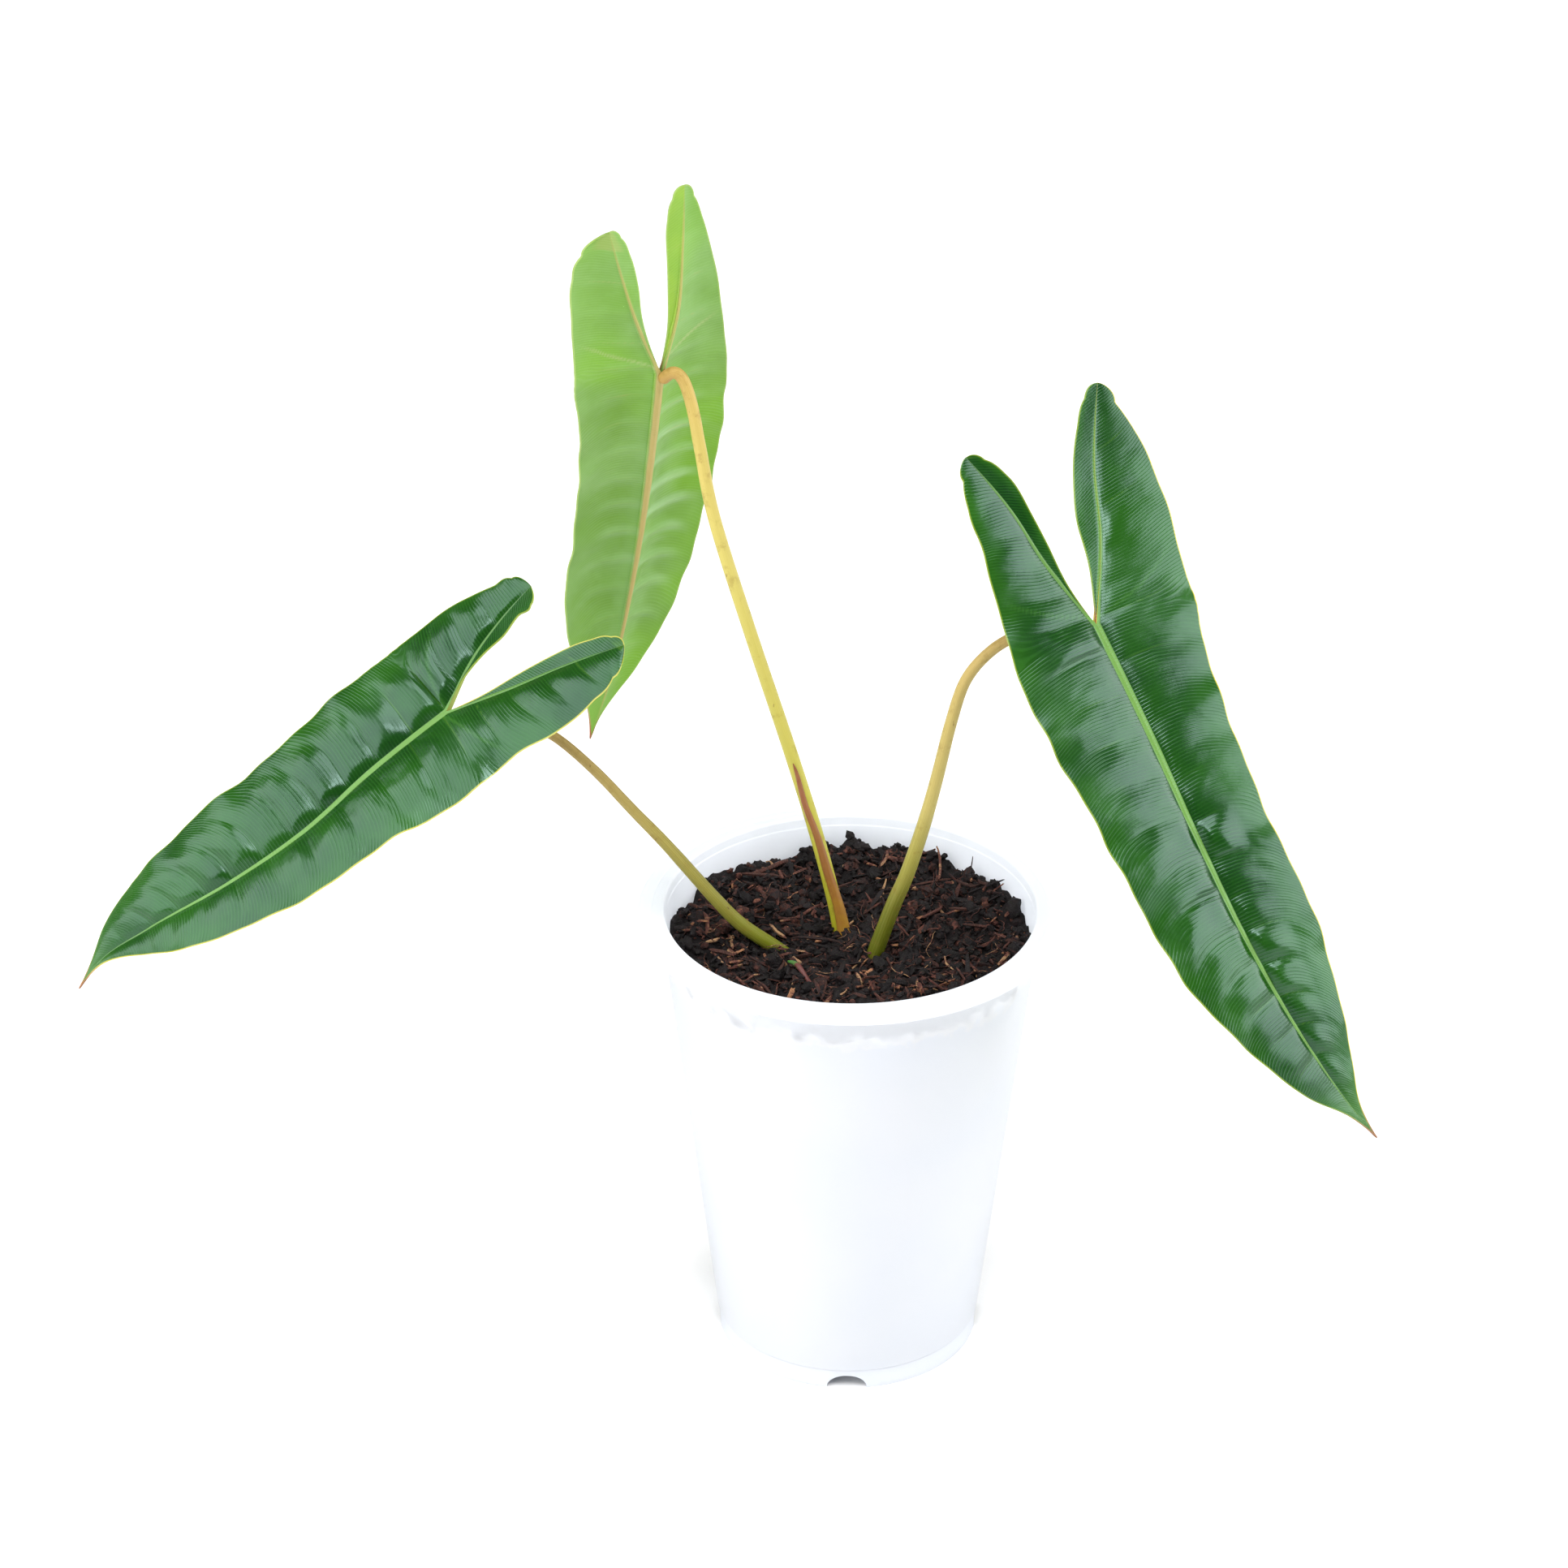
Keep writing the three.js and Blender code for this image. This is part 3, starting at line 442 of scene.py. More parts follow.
class Look:
    """A node material in the making. A method that adds nodes gives back their output."""

    def __init__(self, name, **plain):
        self.material = bpy.data.materials.new(name)
        self.material.use_nodes = True
        self.tree = self.material.node_tree
        self.shader = self.tree.nodes["Principled BSDF"]
        for key, value in plain.items():
            self.shader.inputs[key.replace("_", " ")].default_value = value

    def feed(self, socket, value):
        if isinstance(value, bpy.types.NodeSocket):
            self.tree.links.new(value, socket)
        elif hasattr(value, "__len__") and len(value) == 3 and socket.type == "RGBA":
            socket.default_value = (*value, 1)
        else:
            socket.default_value = value

    def node(self, kind, inputs, output=0, **settings):
        made = self.tree.nodes.new(kind)
        for key, value in settings.items():
            setattr(made, key, value)
        for key, value in inputs.items():
            self.feed(made.inputs[key], value)
        return made.outputs[output]

    def place(self):
        return self.node("ShaderNodeTexCoord", {}, "Object")

    def stretched(self, scale):
        return self.node("ShaderNodeMapping", {"Vector": self.place(), "Scale": scale})

    def mark(self, name):
        return self.node("ShaderNodeAttribute", {}, "Fac", attribute_name=name)

    def noise(self, scale, detail=3, roughness=0.5, at=None):
        inputs = {"Vector": at or self.place(), "Scale": scale, "Detail": detail, "Roughness": roughness}
        return self.node("ShaderNodeTexNoise", inputs, "Fac")

    def cells(self, scale):
        return self.node("ShaderNodeTexVoronoi", {"Vector": self.place(), "Scale": scale}, "Distance")

    def math(self, operation, a, b=0.0, c=0.0):
        return self.node("ShaderNodeMath", {0: a, 1: b, 2: c}, operation=operation)

    def plus(self, a, b):
        return self.math("ADD", a, b)

    def times(self, a, b):
        return self.math("MULTIPLY", a, b)

    def span(self, value, low, high, to_low=0.0, to_high=1.0):
        """to_low up to low, to_high from high on, and eased between."""
        inputs = {"Value": value, "From Min": low, "From Max": high, "To Min": to_low, "To Max": to_high}
        return self.node("ShaderNodeMapRange", inputs, interpolation_type="SMOOTHSTEP")

    def fade(self, value, low, high):
        """1 up to low, 0 from high on, and eased between."""
        return self.span(value, low, high, 1.0, 0.0)

    def lengthwise(self, count):
        """Noise drawn out into lines along a tube, by the marks along and around it."""
        place = {0: self.times(self.mark("around"), count), 1: self.mark("along")}
        return self.noise(3.0, 3, 0.6, at=self.node("ShaderNodeCombineXYZ", place))

    def mix(self, share, a, b):
        return self.node("ShaderNodeMix", {0: share, 6: a, 7: b}, 2, data_type="RGBA")

    def ramp(self, value, stops):
        made = self.tree.nodes.new("ShaderNodeValToRGB")
        elements = made.color_ramp.elements
        while len(elements) < len(stops):
            elements.new(0.5)
        for element, (position, colour) in zip(elements, stops):
            element.position = position
            element.color = (*colour, 1)
        self.feed(made.inputs[0], value)
        return made.outputs[0]

    def bump(self, height, depth):
        return self.node("ShaderNodeBump", {"Height": height, "Strength": 1.0, "Distance": depth})

    def let_light_through(self, share, colour):
        """Mixes in a translucent shader, for a thin wall that light passes through."""
        thin = self.node("ShaderNodeBsdfTranslucent", {"Color": colour})
        mixed = self.node("ShaderNodeMixShader", {0: share, 1: self.shader.outputs[0], 2: thin})
        self.tree.links.new(mixed, self.tree.nodes["Material Output"].inputs["Surface"])

    def finish(self, colour=None, roughness=None, normal=None):
        for key, value in (("Base Color", colour), ("Roughness", roughness), ("Normal", normal)):
            if value is not None:
                self.feed(self.shader.inputs[key], value)
        return self.material


def scaled(colour, share):
    """The colour with each of its three parts times the share."""
    return tuple(share * part for part in colour)


def pot_plastic(colour):
    """White moulded plastic: a faint mottle in its gloss, a painted bluish shade where the soil stands
    behind the wall, and more light through the wall above it."""
    look = Look("pot_plastic", IOR=1.46)
    height = look.node("ShaderNodeSeparateXYZ", {"Vector": look.place()}, 2)
    level = look.plus(height, look.span(look.noise(150, 4), 0.3, 0.7, -0.0025, 0.0025))
    cloud = look.span(look.noise(22, 2), 0.35, 0.7, 0.5, 1.0)
    # Painted shade: below the soil's ragged level the wall is tinted bluish-grey, for the soil behind it
    # that shades the light through the wall.
    painted_soil_shade = tuple(part * share for part, share in zip(colour, (0.95, 0.97, 1.0)))
    base = look.mix(look.times(look.fade(level, 0.1435, 0.1465), cloud), colour, painted_soil_shade)
    look.let_light_through(look.span(level, 0.146, 0.15, 0.34, 0.55), base)
    roughness = look.span(look.noise(60, 3), 0.3, 0.7, 0.32, 0.42)
    return look.finish(base, roughness, look.bump(look.noise(2600, 2), 0.00001))


def mix_ground(dark, bark):
    """Fine crumb of the bark mix: near-black with brown and reddish flecks."""
    look = Look("bark_mix_ground", Specular_IOR_Level=0.25)
    flecks, deep = look.noise(420, 5, 0.7), scaled(dark, 0.5)
    base = look.ramp(flecks, [(0.4, deep), (0.6, dark), (0.76, bark)])
    base = look.mix(look.span(look.noise(90, 3), 0.35, 0.65, 0.0, 0.7), base, deep)
    height = look.plus(look.noise(700, 4, 0.7), look.times(look.cells(500), -0.6))
    return look.finish(base, look.span(flecks, 0.3, 0.7, 0.7, 0.95), look.bump(height, 0.0008))


def mix_pieces(name, stops, grain):
    """Bark in pieces: each piece has its own tone, broken by streaks and flecks."""
    look = Look(name, Specular_IOR_Level=0.25)
    streak = look.noise(grain, 4, 0.65)
    shade = look.plus(look.mark("tone"), look.span(streak, 0.3, 0.7, -0.16, 0.16))
    shade = look.plus(shade, look.span(look.noise(900, 3, 0.6), 0.58, 0.75, 0.0, 0.25))
    height = look.plus(streak, look.noise(1600, 3))
    roughness = look.span(streak, 0.3, 0.7, 0.6, 0.9)
    return look.finish(look.ramp(shade, stops), roughness, look.bump(height, 0.0005))


def petiole_skin(name, stops):
    """Petiole: colours along its length, fine lengthwise lines and small brown corky specks."""
    look = Look(name, IOR=1.42, Specular_IOR_Level=0.3)
    along, streak = look.mark("along"), look.lengthwise(26.0)
    pale = look.times(look.span(streak, 0.35, 0.7, 0.0, 0.3), look.span(along, 0.1, 0.4, 0.15, 1.0))
    base = look.mix(pale, look.ramp(along, stops), (0.60, 0.50, 0.16))
    mottle = look.noise(240, 4, 0.65)
    base = look.mix(look.span(mottle, 0.52, 0.72, 0.0, 0.4), base, (0.20, 0.12, 0.02))
    specks = look.noise(620, 2, 0.5, at=look.stretched((1, 1, 0.45)))
    base = look.mix(look.span(specks, 0.70, 0.76, 0.0, 0.75), base, (0.10, 0.045, 0.015))
    height = look.plus(look.times(streak, 0.6), look.times(specks, 0.4))
    return look.finish(base, look.span(mottle, 0.3, 0.7, 0.34, 0.5), look.bump(height, 0.00018))


def shoot_skin(name, stops):
    """New leaf or sprout: colours from base to tip with lengthwise lines."""
    look = Look(name, IOR=1.42)
    mottle, streak = look.noise(300, 3), look.lengthwise(18.0)
    shade = look.plus(look.mark("along"), look.span(mottle, 0.3, 0.7, -0.06, 0.06))
    base = look.mix(look.span(streak, 0.4, 0.7, 0.0, 0.3), look.ramp(shade, stops), (0.22, 0.07, 0.02))
    return look.finish(base, look.span(mottle, 0.3, 0.7, 0.35, 0.5), look.bump(streak, 0.0001))


def leaf_skin(name, face, dark, light, rib_colour, margin_colour):
    """Leaf skin: hair-fine lines that follow the veins, light ribs, a thin margin line that reddens to the
    drip tip, and gloss that changes from place to place. Painted sheen lies in light bands along the
    underside's veins, and the upper face is greener towards the margin and the drip tip."""
    look = Look(name, IOR=face["ior"], Specular_Tint=(0.72, 1.0, 0.97, 1))
    along, across, lateral, rib = map(look.mark, ("along", "across", "lateral", "rib"))
    wander = look.math("MULTIPLY_ADD", look.noise(45, 2), 7.0, look.times(look.noise(170, 2), 3.0))
    fine = look.math("SINE", look.math("MULTIPLY_ADD", look.mark("vein"), 5.6, wander))
    hairs = look.times(look.span(fine, -0.2, 1.0), look.span(look.noise(70, 3), 0.3, 0.65, 0.3, 1.0))
    base = look.mix(look.span(look.noise(30, 4, 0.6), 0.32, 0.68), dark, light)
    if face is UNDERSIDE:
        # Painted sheen: pale bands along the underside's side veins, strongest where the blade bulges, stand
        # in for the light reflected off the ridges.
        band = look.times(look.fade(lateral, 0.4, 3.4), look.fade(across, 0.5, 0.95))
        band = look.times(band, look.span(look.mark("puff"), 0.3, 1.1, 0.05, 0.5))
        band = look.times(band, look.span(look.noise(45, 2), 0.35, 0.6, 0.35, 1.0))
        base = look.mix(look.span(look.noise(17, 2), 0.42, 0.62, 0.0, 0.75), base, (0.17, 0.37, 0.018))
        base = look.mix(band, base, (0.35, 0.53, 0.27))
    # Painted light: the inner strip of a sunlit half is made yellower, in place of the light falling on it.
    sunlit = look.times(look.mark("sunlit"), look.span(look.noise(60, 2), 0.3, 0.6, 0.6, 1.0))
    base = look.mix(sunlit, base, (0.24, 0.40, 0.012))
    if face is UPPER:
        patchy = look.span(look.noise(38, 3), 0.35, 0.65, 0.1, 0.6)
        base = look.mix(look.times(look.span(across, 0.45, 0.98), patchy), base, (0.018, 0.095, 0.0015))
        base = look.mix(look.span(along, 0.86, 0.985, 0.0, 0.6), base, (0.055, 0.17, 0.006))
    share, streaked = face["hairs"]
    base = look.mix(look.times(hairs, share), base, streaked)
    crease = look.times(look.fade(lateral, 0.1, 0.55), look.fade(across, 0.3, 0.8))
    on_vein = look.times(crease, look.span(look.noise(26, 1), 0.5, 0.62, 0.05, 0.4))
    base = look.mix(on_vein, base, tuple(0.4 * a + 0.6 * b for a, b in zip(light, rib_colour)))
    share, near_sinus = face["basal"]
    base = look.mix(look.times(look.mark("basal"), share), base, near_sinus)
    dots = look.math("GREATER_THAN", 0.045, look.cells(330))
    dots = look.times(dots, look.span(look.noise(50, 2), 0.55, 0.7))
    base = look.mix(look.times(dots, 0.5), base, tuple(2.5 * part + 0.06 for part in light))
    base = look.mix(rib, base, rib_colour)
    edge = look.mix(look.mark("gold"), face["plain_edge"], margin_colour)
    edge = look.mix(look.span(along, 0.9, 1.0), edge, (0.30, 0.09, 0.035))
    edge = look.mix(look.mark("sinus"), edge, SINUS_RED)
    base = look.mix(look.times(look.fade(look.mark("rim"), 0.12, 0.6), 0.85), base, edge)
    base = look.mix(look.span(along, 0.972, 1.0, 0.0, 0.8), base, (0.28, 0.12, 0.05))
    film = look.span(look.noise(24, 5, 0.6), 0.32, 0.7, *face["roughness"])
    height = look.math("MULTIPLY_ADD", look.noise(330, 2), 1.2, look.times(hairs, 0.85))
    height = look.math("MULTIPLY_ADD", look.noise(1500, 2), 0.3, height)
    relief = look.bump(height, face["relief"])
    return look.finish(base, look.math("MULTIPLY_ADD", rib, 0.18, film), relief)


def margin_skin(colour):
    """The blade's cut edge: yellowish, and reddish-brown at the drip tip."""
    look = Look("leaf_margin", Roughness=0.5)
    base = look.mix(look.mark("gold"), (0.16, 0.30, 0.06), colour)
    base = look.mix(look.span(look.mark("along"), 0.86, 0.99), base, (0.28, 0.08, 0.03))
    base = look.mix(look.mark("sinus"), base, SINUS_RED)
    return look.finish(base, None, look.bump(look.noise(900, 2), 0.00005))


# Pot


def rounded(corners, radius):
    """Each inner corner of a line becomes a curve (1-t)^2 a + 2t(1-t) p + t^2 b, where a and b lie at the
    radius from the corner p, or at 45 % of a shorter side."""
    corners = np.asarray(corners, float)
    middle = corners[1:-1]
    back, on = corners[:-2] - middle, corners[2:] - middle
    reach = lambda side: side * np.minimum(0.45, radius / np.linalg.norm(side, axis=1))[:, None]
    a, b = middle + reach(back), middle + reach(on)
    t = np.linspace(0, 1, 5)[None, :, None]
    curves = (1 - t) ** 2 * a[:, None] + 2 * t * (1 - t) * middle[:, None] + t * t * b[:, None]
    return np.concatenate([corners[:1], curves.reshape(-1, 2), corners[-1:]])


def pot_surface(pot):
    """The pot as a profile of radius and height turned round Z, from the pad under the floor out over the
    foot, up the wall, over the flange and down inside. A point of the foot ring at height z rises by
    n (1 - z / top), where n is the half-oval notch's height at that angle."""
    height, opening, flange = pot.height / MM, pot.opening_radius / MM, pot.flange_radius / MM
    foot, wall, band = pot.foot_radius / MM, pot.wall / MM, pot.band_height / MM
    under = height - 2.8
    floor, plate, step, pad = 6.0, 1.8, 0.6, 11
    neck = opening + wall
    inner_foot = foot + step - wall
    inside = inner_foot + (opening - inner_foot) * plate / (height - step - floor)
    corners = [
        (0, 0), (pad, 0), (pad + 1, floor), (foot - wall, floor), (foot - wall, 0), (foot, 0), (foot, band),
        (foot + step, band + step), (neck, under - wall), (neck + wall, under), (flange - 1.4, under),
        (flange - 0.6, under - 0.6), (flange, under - 0.3), (flange, height - 1.5),
        (flange - 0.6, height - 1), (opening + 4.6, height - 0.55), (opening + 4.2, height - 0.75),
        (opening + 3.8, height - 0.42), (opening + 0.5, height), (opening, height - 0.6),
        (opening - 0.25, height - 3.4), (opening - 0.5, height - 3.7), (inside, floor + plate),
        (0, floor + plate),
    ]
    profile = rounded(corners, 0.35)
    notch_width, notch_height = pot.notch_width / MM, pot.notch_height / MM
    half = notch_width / 2 / foot
    arch = half * np.cos(np.linspace(np.pi, 0, 25))
    plain = np.linspace(half, np.pi / 2 - half, 60)[1:-1]
    quarter = np.concatenate([arch, plain])
    angle = (np.arange(4)[:, None] * np.pi / 2 - np.pi / 2 + quarter).ravel()
    offset = np.tile(quarter, 4)
    notch = notch_height * np.sqrt(np.clip(1 - (offset / half) ** 2, 0, 1)) * (np.abs(offset) <= half)
    radius, level = profile[:, :1], profile[:, 1:]
    in_ring = (radius > foot - wall - 0.3) & (level < band)
    top = np.where(radius < foot - 0.4, floor, band)
    lift = np.where(in_ring, notch * np.clip(1 - level / top, 0, 1), 0)
    points = as_points(radius * np.cos(angle), radius * np.sin(angle), level + lift)
    return points, grid_quads(len(profile), len(angle), closed=True)


def drain_cutters(count=6, circle=26.0, radius=4.0, sides=28):
    """Upright round bars, each a circle of the radius about a place on the drain circle."""
    turn = np.linspace(0, 2 * np.pi, sides, endpoint=False)
    at = (np.arange(count) + 0.5) * 2 * np.pi / count
    size = np.array([0, radius, radius, 0])[None, :, None]
    x = circle * np.cos(at)[:, None, None] + size * np.cos(turn)
    y = circle * np.sin(at)[:, None, None] + size * np.sin(turn)
    z = np.broadcast_to(np.array([3.0, 3.0, 10.0, 10.0])[None, :, None], x.shape)
    quads = np.concatenate([grid_quads(4, sides, True, i * 4 * sides) for i in range(count)])
    return as_points(x, y, z), quads


def cut_away(piece, cutter):
    """Cuts the cutter's bars out of the piece and keeps the result as its mesh."""
    modifier = piece.modifiers.new("holes", "BOOLEAN")
    modifier.operation = "DIFFERENCE"
    modifier.solver = "EXACT"
    modifier.object = cutter
    evaluated = piece.evaluated_get(bpy.context.evaluated_depsgraph_get())
    mesh = bpy.data.meshes.new_from_object(evaluated)
    if len(mesh.polygons) == len(piece.data.polygons):
        raise RuntimeError("The drain holes weren't cut")
    piece.modifiers.clear()
    piece.data = mesh
    mesh.set_sharp_from_angle(angle=math.radians(35))
    bpy.data.objects.remove(cutter)


# Soil


def soil_top(x, y):
    """Height of the soil in millimetres: its level plus slow, middle and quick waves, lower at the edge."""
    slow = np.sin(0.11 * x + 0.6) * np.cos(0.13 * y - 0.4)
    middle = np.sin(0.36 * x + 1.4 * np.sin(0.27 * y)) * np.cos(0.33 * y + 0.9 * np.sin(0.21 * x))
    quick = np.sin(0.83 * x + 0.37 * y + 1.1) * np.sin(0.79 * y - 0.33 * x)
    return SOIL_LEVEL + 1.5 * (0.8 * slow + middle + 0.5 * quick) - 1.2 * (np.hypot(x, y) / 61) ** 4


def rough_top(x, y):
    """The soil's height with the clods that stand against the wall, higher at the back, and with four
    sizes of lump added: 11, 5, 2.2 and 1 mm across."""
    by_wall = ease(34, 58, np.hypot(x, y))
    to_back = 0.25 + 0.75 * ease(-45, 10, y)
    bank = 4.5 * by_wall * to_back * (1 + 0.5 * lattice(x, y, 8, 20))
    lumps = 1.3 * lattice(x, y, 11, 21) + 1.3 * lattice(x + 5, y, 5, 22)
    return soil_top(x, y) + bank + lumps + 0.6 * lattice(x, y, 2.2, 23) + 0.3 * lattice(y, x, 1, 24)


def soil_surface():
    """The soil as a closed round body: an upper face in rings, and a side and a base inside the pot."""
    rim, base, low = 59.6, 44.2, 8.3
    radius = np.concatenate([[0, base * 0.5, base, (base + rim) / 2], rim * np.linspace(1, 0, 120)])
    angle = np.linspace(0, 2 * np.pi, 340, endpoint=False)
    x, y = radius[:, None] * np.cos(angle), radius[:, None] * np.sin(angle)
    z = rough_top(x, y)
    z[:3] = low
    z[3] = (low + SOIL_LEVEL - 1) / 2
    return as_points(x, y, z), grid_quads(len(radius), len(angle), closed=True)


def small_lump(around, levels):
    """A closed round shape of radius 1: points at latitude and longitude."""
    latitude = np.linspace(-np.pi / 2, np.pi / 2, levels)[:, None]
    longitude = np.linspace(0, 2 * np.pi, around, endpoint=False)[None, :]
    x, y = np.cos(latitude) * np.cos(longitude), np.cos(latitude) * np.sin(longitude)
    z = np.broadcast_to(np.sin(latitude), x.shape)
    return weld(as_points(x, y, z), grid_quads(levels, around, closed=True))[:2]


def splinter(sides=5):
    """A closed long flake from -1 to 1 along X, widest in the middle and narrower in steps to its ends."""
    x = np.array([-1, -0.96, -0.5, 0.0, 0.5, 0.96, 1])[:, None]
    size = np.array([0, 0.7, 0.95, 1.0, 0.9, 0.65, 0])[:, None]
    angle = np.linspace(0, 2 * np.pi, sides, endpoint=False)[None, :]
    y, z = size * np.cos(angle), size * np.sin(angle)
    points = as_points(np.broadcast_to(x, y.shape), y, z)
    return weld(points, grid_quads(len(x), sides, closed=True))[:2]


def spots_on_soil(count, reach, rng):
    """Even random places over the soil as far out as reach."""
    radius = reach * np.sqrt(rng.uniform(0, 1, count))
    angle = rng.uniform(0, 2 * np.pi, count)
    return radius * np.cos(angle), radius * np.sin(angle)


# Crown


def crown_surface():
    """The buried stem. At share u of its height its radius is (12 + cos(6 pi u) / 2) times the square root
    of 1 - (2u - 1)^4. Returns points, quads and each point's u."""
    u = np.linspace(0, 1, 41)
    radius = (12 + 0.5 * np.cos(6 * np.pi * u)) * np.sqrt(np.clip(1 - (2 * u - 1) ** 4, 0, 1))
    angle = np.linspace(0, 2 * np.pi, 40, endpoint=False)
    x = CROWN_X + radius[:, None] * np.cos(angle)
    y = CROWN_Y + radius[:, None] * np.sin(angle)
    z = np.broadcast_to((108.5 + 25 * u)[:, None], x.shape)
    quads = grid_quads(len(u), len(angle), closed=True)
    return as_points(x, y, z), quads, np.repeat(u, len(angle))


def root_path(i, count):
    """The middle line of root i of count: 34 mm out from the stem's middle, turning by a quarter of a radian
    and dipping ever more steeply, by one of three depths."""
    share = np.array([0.15, 0.5, 0.8, 1.0])
    drop = np.array([0, -0.3, -1.0, -2.4]) * (8, 13, 18)[i % 3]
    turn = 2 * np.pi * (i + 0.3) / count + 0.25 * share
    return as_points(CROWN_X + 34 * share * np.cos(turn), CROWN_Y + 34 * share * np.sin(turn), 119 + drop)


# Blades


def spine_frame(leaf, half, s):
    """The spine's point at each station, the upper face's direction and the direction to the margin. The
    spine's run turns from the lobe's rib to the midrib, and the face is set square to it."""
    midrib = lambda u: through(MIDRIB_STATIONS, leaf["midrib"], u)
    lobe = lambda u: through(LOBE_STATIONS, leaf[half]["lobe"], u)
    step = 0.001
    on_midrib, on_lobe = np.clip(s, step, 1), np.clip(-s, step, 1)
    point = np.where((s >= 0)[:, None], midrib(np.clip(s, 0, 1)), lobe(np.clip(-s, 0, 1)))
    along_midrib = unit(midrib(on_midrib) - midrib(on_midrib - step))
    along_lobe = unit(lobe(on_lobe - step) - lobe(on_lobe))
    share = ease(-0.35, 0.2, s)[:, None]
    run = unit(along_lobe * (1 - share) + along_midrib * share)
    face = np.asarray(leaf["face"])[None, :]
    face = unit(face - (face * run).sum(axis=1, keepdims=True) * run)
    sign = 1 if half == "right" else -1
    return point, face, sign * np.cross(face, run)


def spine_length(leaf, half, s):
    """Millimetres along the spine from the sinus, below zero on the lobe."""
    u = np.linspace(0, 1, 400)
    steps = lambda stations, values: np.linalg.norm(np.diff(through(stations, values, u), axis=0), axis=1)
    on_midrib = np.cumsum(steps(MIDRIB_STATIONS, leaf["midrib"]))
    on_lobe = np.cumsum(steps(LOBE_STATIONS, leaf[half]["lobe"]))
    return np.where(s >= 0, np.interp(s, u, np.r_[0, on_midrib]), -np.interp(-s, u, np.r_[0, on_lobe]))


def rounded_width(leaf, half, inner, s):
    """Half-width at stations s. Over the last 7 % of a lobe it falls as the side of a half circle."""
    table, stations = ("inner", INNER_STATIONS) if inner else ("outer", OUTER_STATIONS)
    width = np.maximum(through(stations, leaf[half][table], np.maximum(s, -0.93)), 0)
    drop = np.sqrt(np.clip(1 - (np.clip(-0.93 - s, 0, 0.07) / 0.07) ** 2, 0, 1))
    return np.where(width < 0.02, 0, width * drop)


def margin_shift(margin, arc, s):
    """How far to move the margin near the sinus, where the rows turn: from each margin point to the weighted
    mean of the margin at seven places up to 12 mm away along it."""
    mean = np.zeros_like(margin)
    for step, weight in zip(range(-3, 4), (1, 2, 3, 4, 3, 2, 1)):
        at = arc + 4 * step
        mean += weight / 16 * np.stack([np.interp(at, arc, axis) for axis in margin.T], axis=-1)
    return (mean - margin) * (ease(-0.5, -0.25, s) * (1 - ease(0.12, 0.3, s)))[:, None]


def margin_wave(half, s, arc, width, a):
    """The waved margin: 0.6 (sin w + 0.7 sin 1.7 w) times a squared and the width over 30 mm, where w turns
    once in 27 mm of margin and a is the share of the way out. It is calmer on the lobes."""
    turn = 2 * np.pi * arc / 27 + (0.8 if half == "right" else 2.9)
    wave = 0.6 * (np.sin(turn) + 0.7 * np.sin(1.7 * turn))
    calm = (0.35 + 0.65 * ease(-0.3, 0.2, s)) * ease(-0.97, -0.75, s)
    return calm[:, None] * wave * width / 30 * a ** 2


def outer_veins(s, length, arc, width, a, seed):
    """Where each point of an outer strip lies among the side veins, in millimetres along the spine. The
    veins fan out from the spine's length to the margin's and bend back and then forward by the
    width times (back a - forward a^3), with a seeded sway."""
    back = np.interp(s, [-1, -0.2, 0.0, 0.3, 0.6, 1], [0.5, 0.3, 0.15, 0.25, 0.1, -0.4])[:, None]
    forward = np.interp(s, [-0.2, 0.2, 1], [0.0, 0.25, 0.4])[:, None]
    fan = length + 0.9 * a ** 1.3 * (arc - length)
    return fan + width * (back * a - forward * a ** 3) + 2.0 * a * lattice(length, a * 20, 16, seed)


def swelling(swell, bulges, k, t, vein, d, a, width, seed):
    """How far the blade bulges between side veins k - 1 and k: b (1 - |2t - 1|^2.2), where t is the share
    of the way between them to a seeded power, with fine unevenness added."""
    skew = np.random.default_rng(seed).uniform(0.75, 1.35, len(bulges) + 1)[k]
    bulge = bulges[k - 1] * (1 - np.abs(2 * t ** skew - 1) ** 2.2)
    uneven = 1 + 0.4 * lattice(vein, d, 9, seed + 1)
    full, fading, ended = swell
    hold = ease(0.01, full, a) * (1 - ease(fading, ended, a)) * ease(2, 20, width)
    small = 0.16 * lattice(vein, 0.5 * d, 3.2, seed + 2) + 0.07 * lattice(vein, 0.35 * d, 1.5, seed + 3)
    still = ease(0.05, 0.3, a) * (1 - ease(0.7, 1, a)) * (0.3 + 0.7 * np.clip(bulges[k - 1], 0, 1))
    return 1.15 * bulge * hold * uneven + small * still


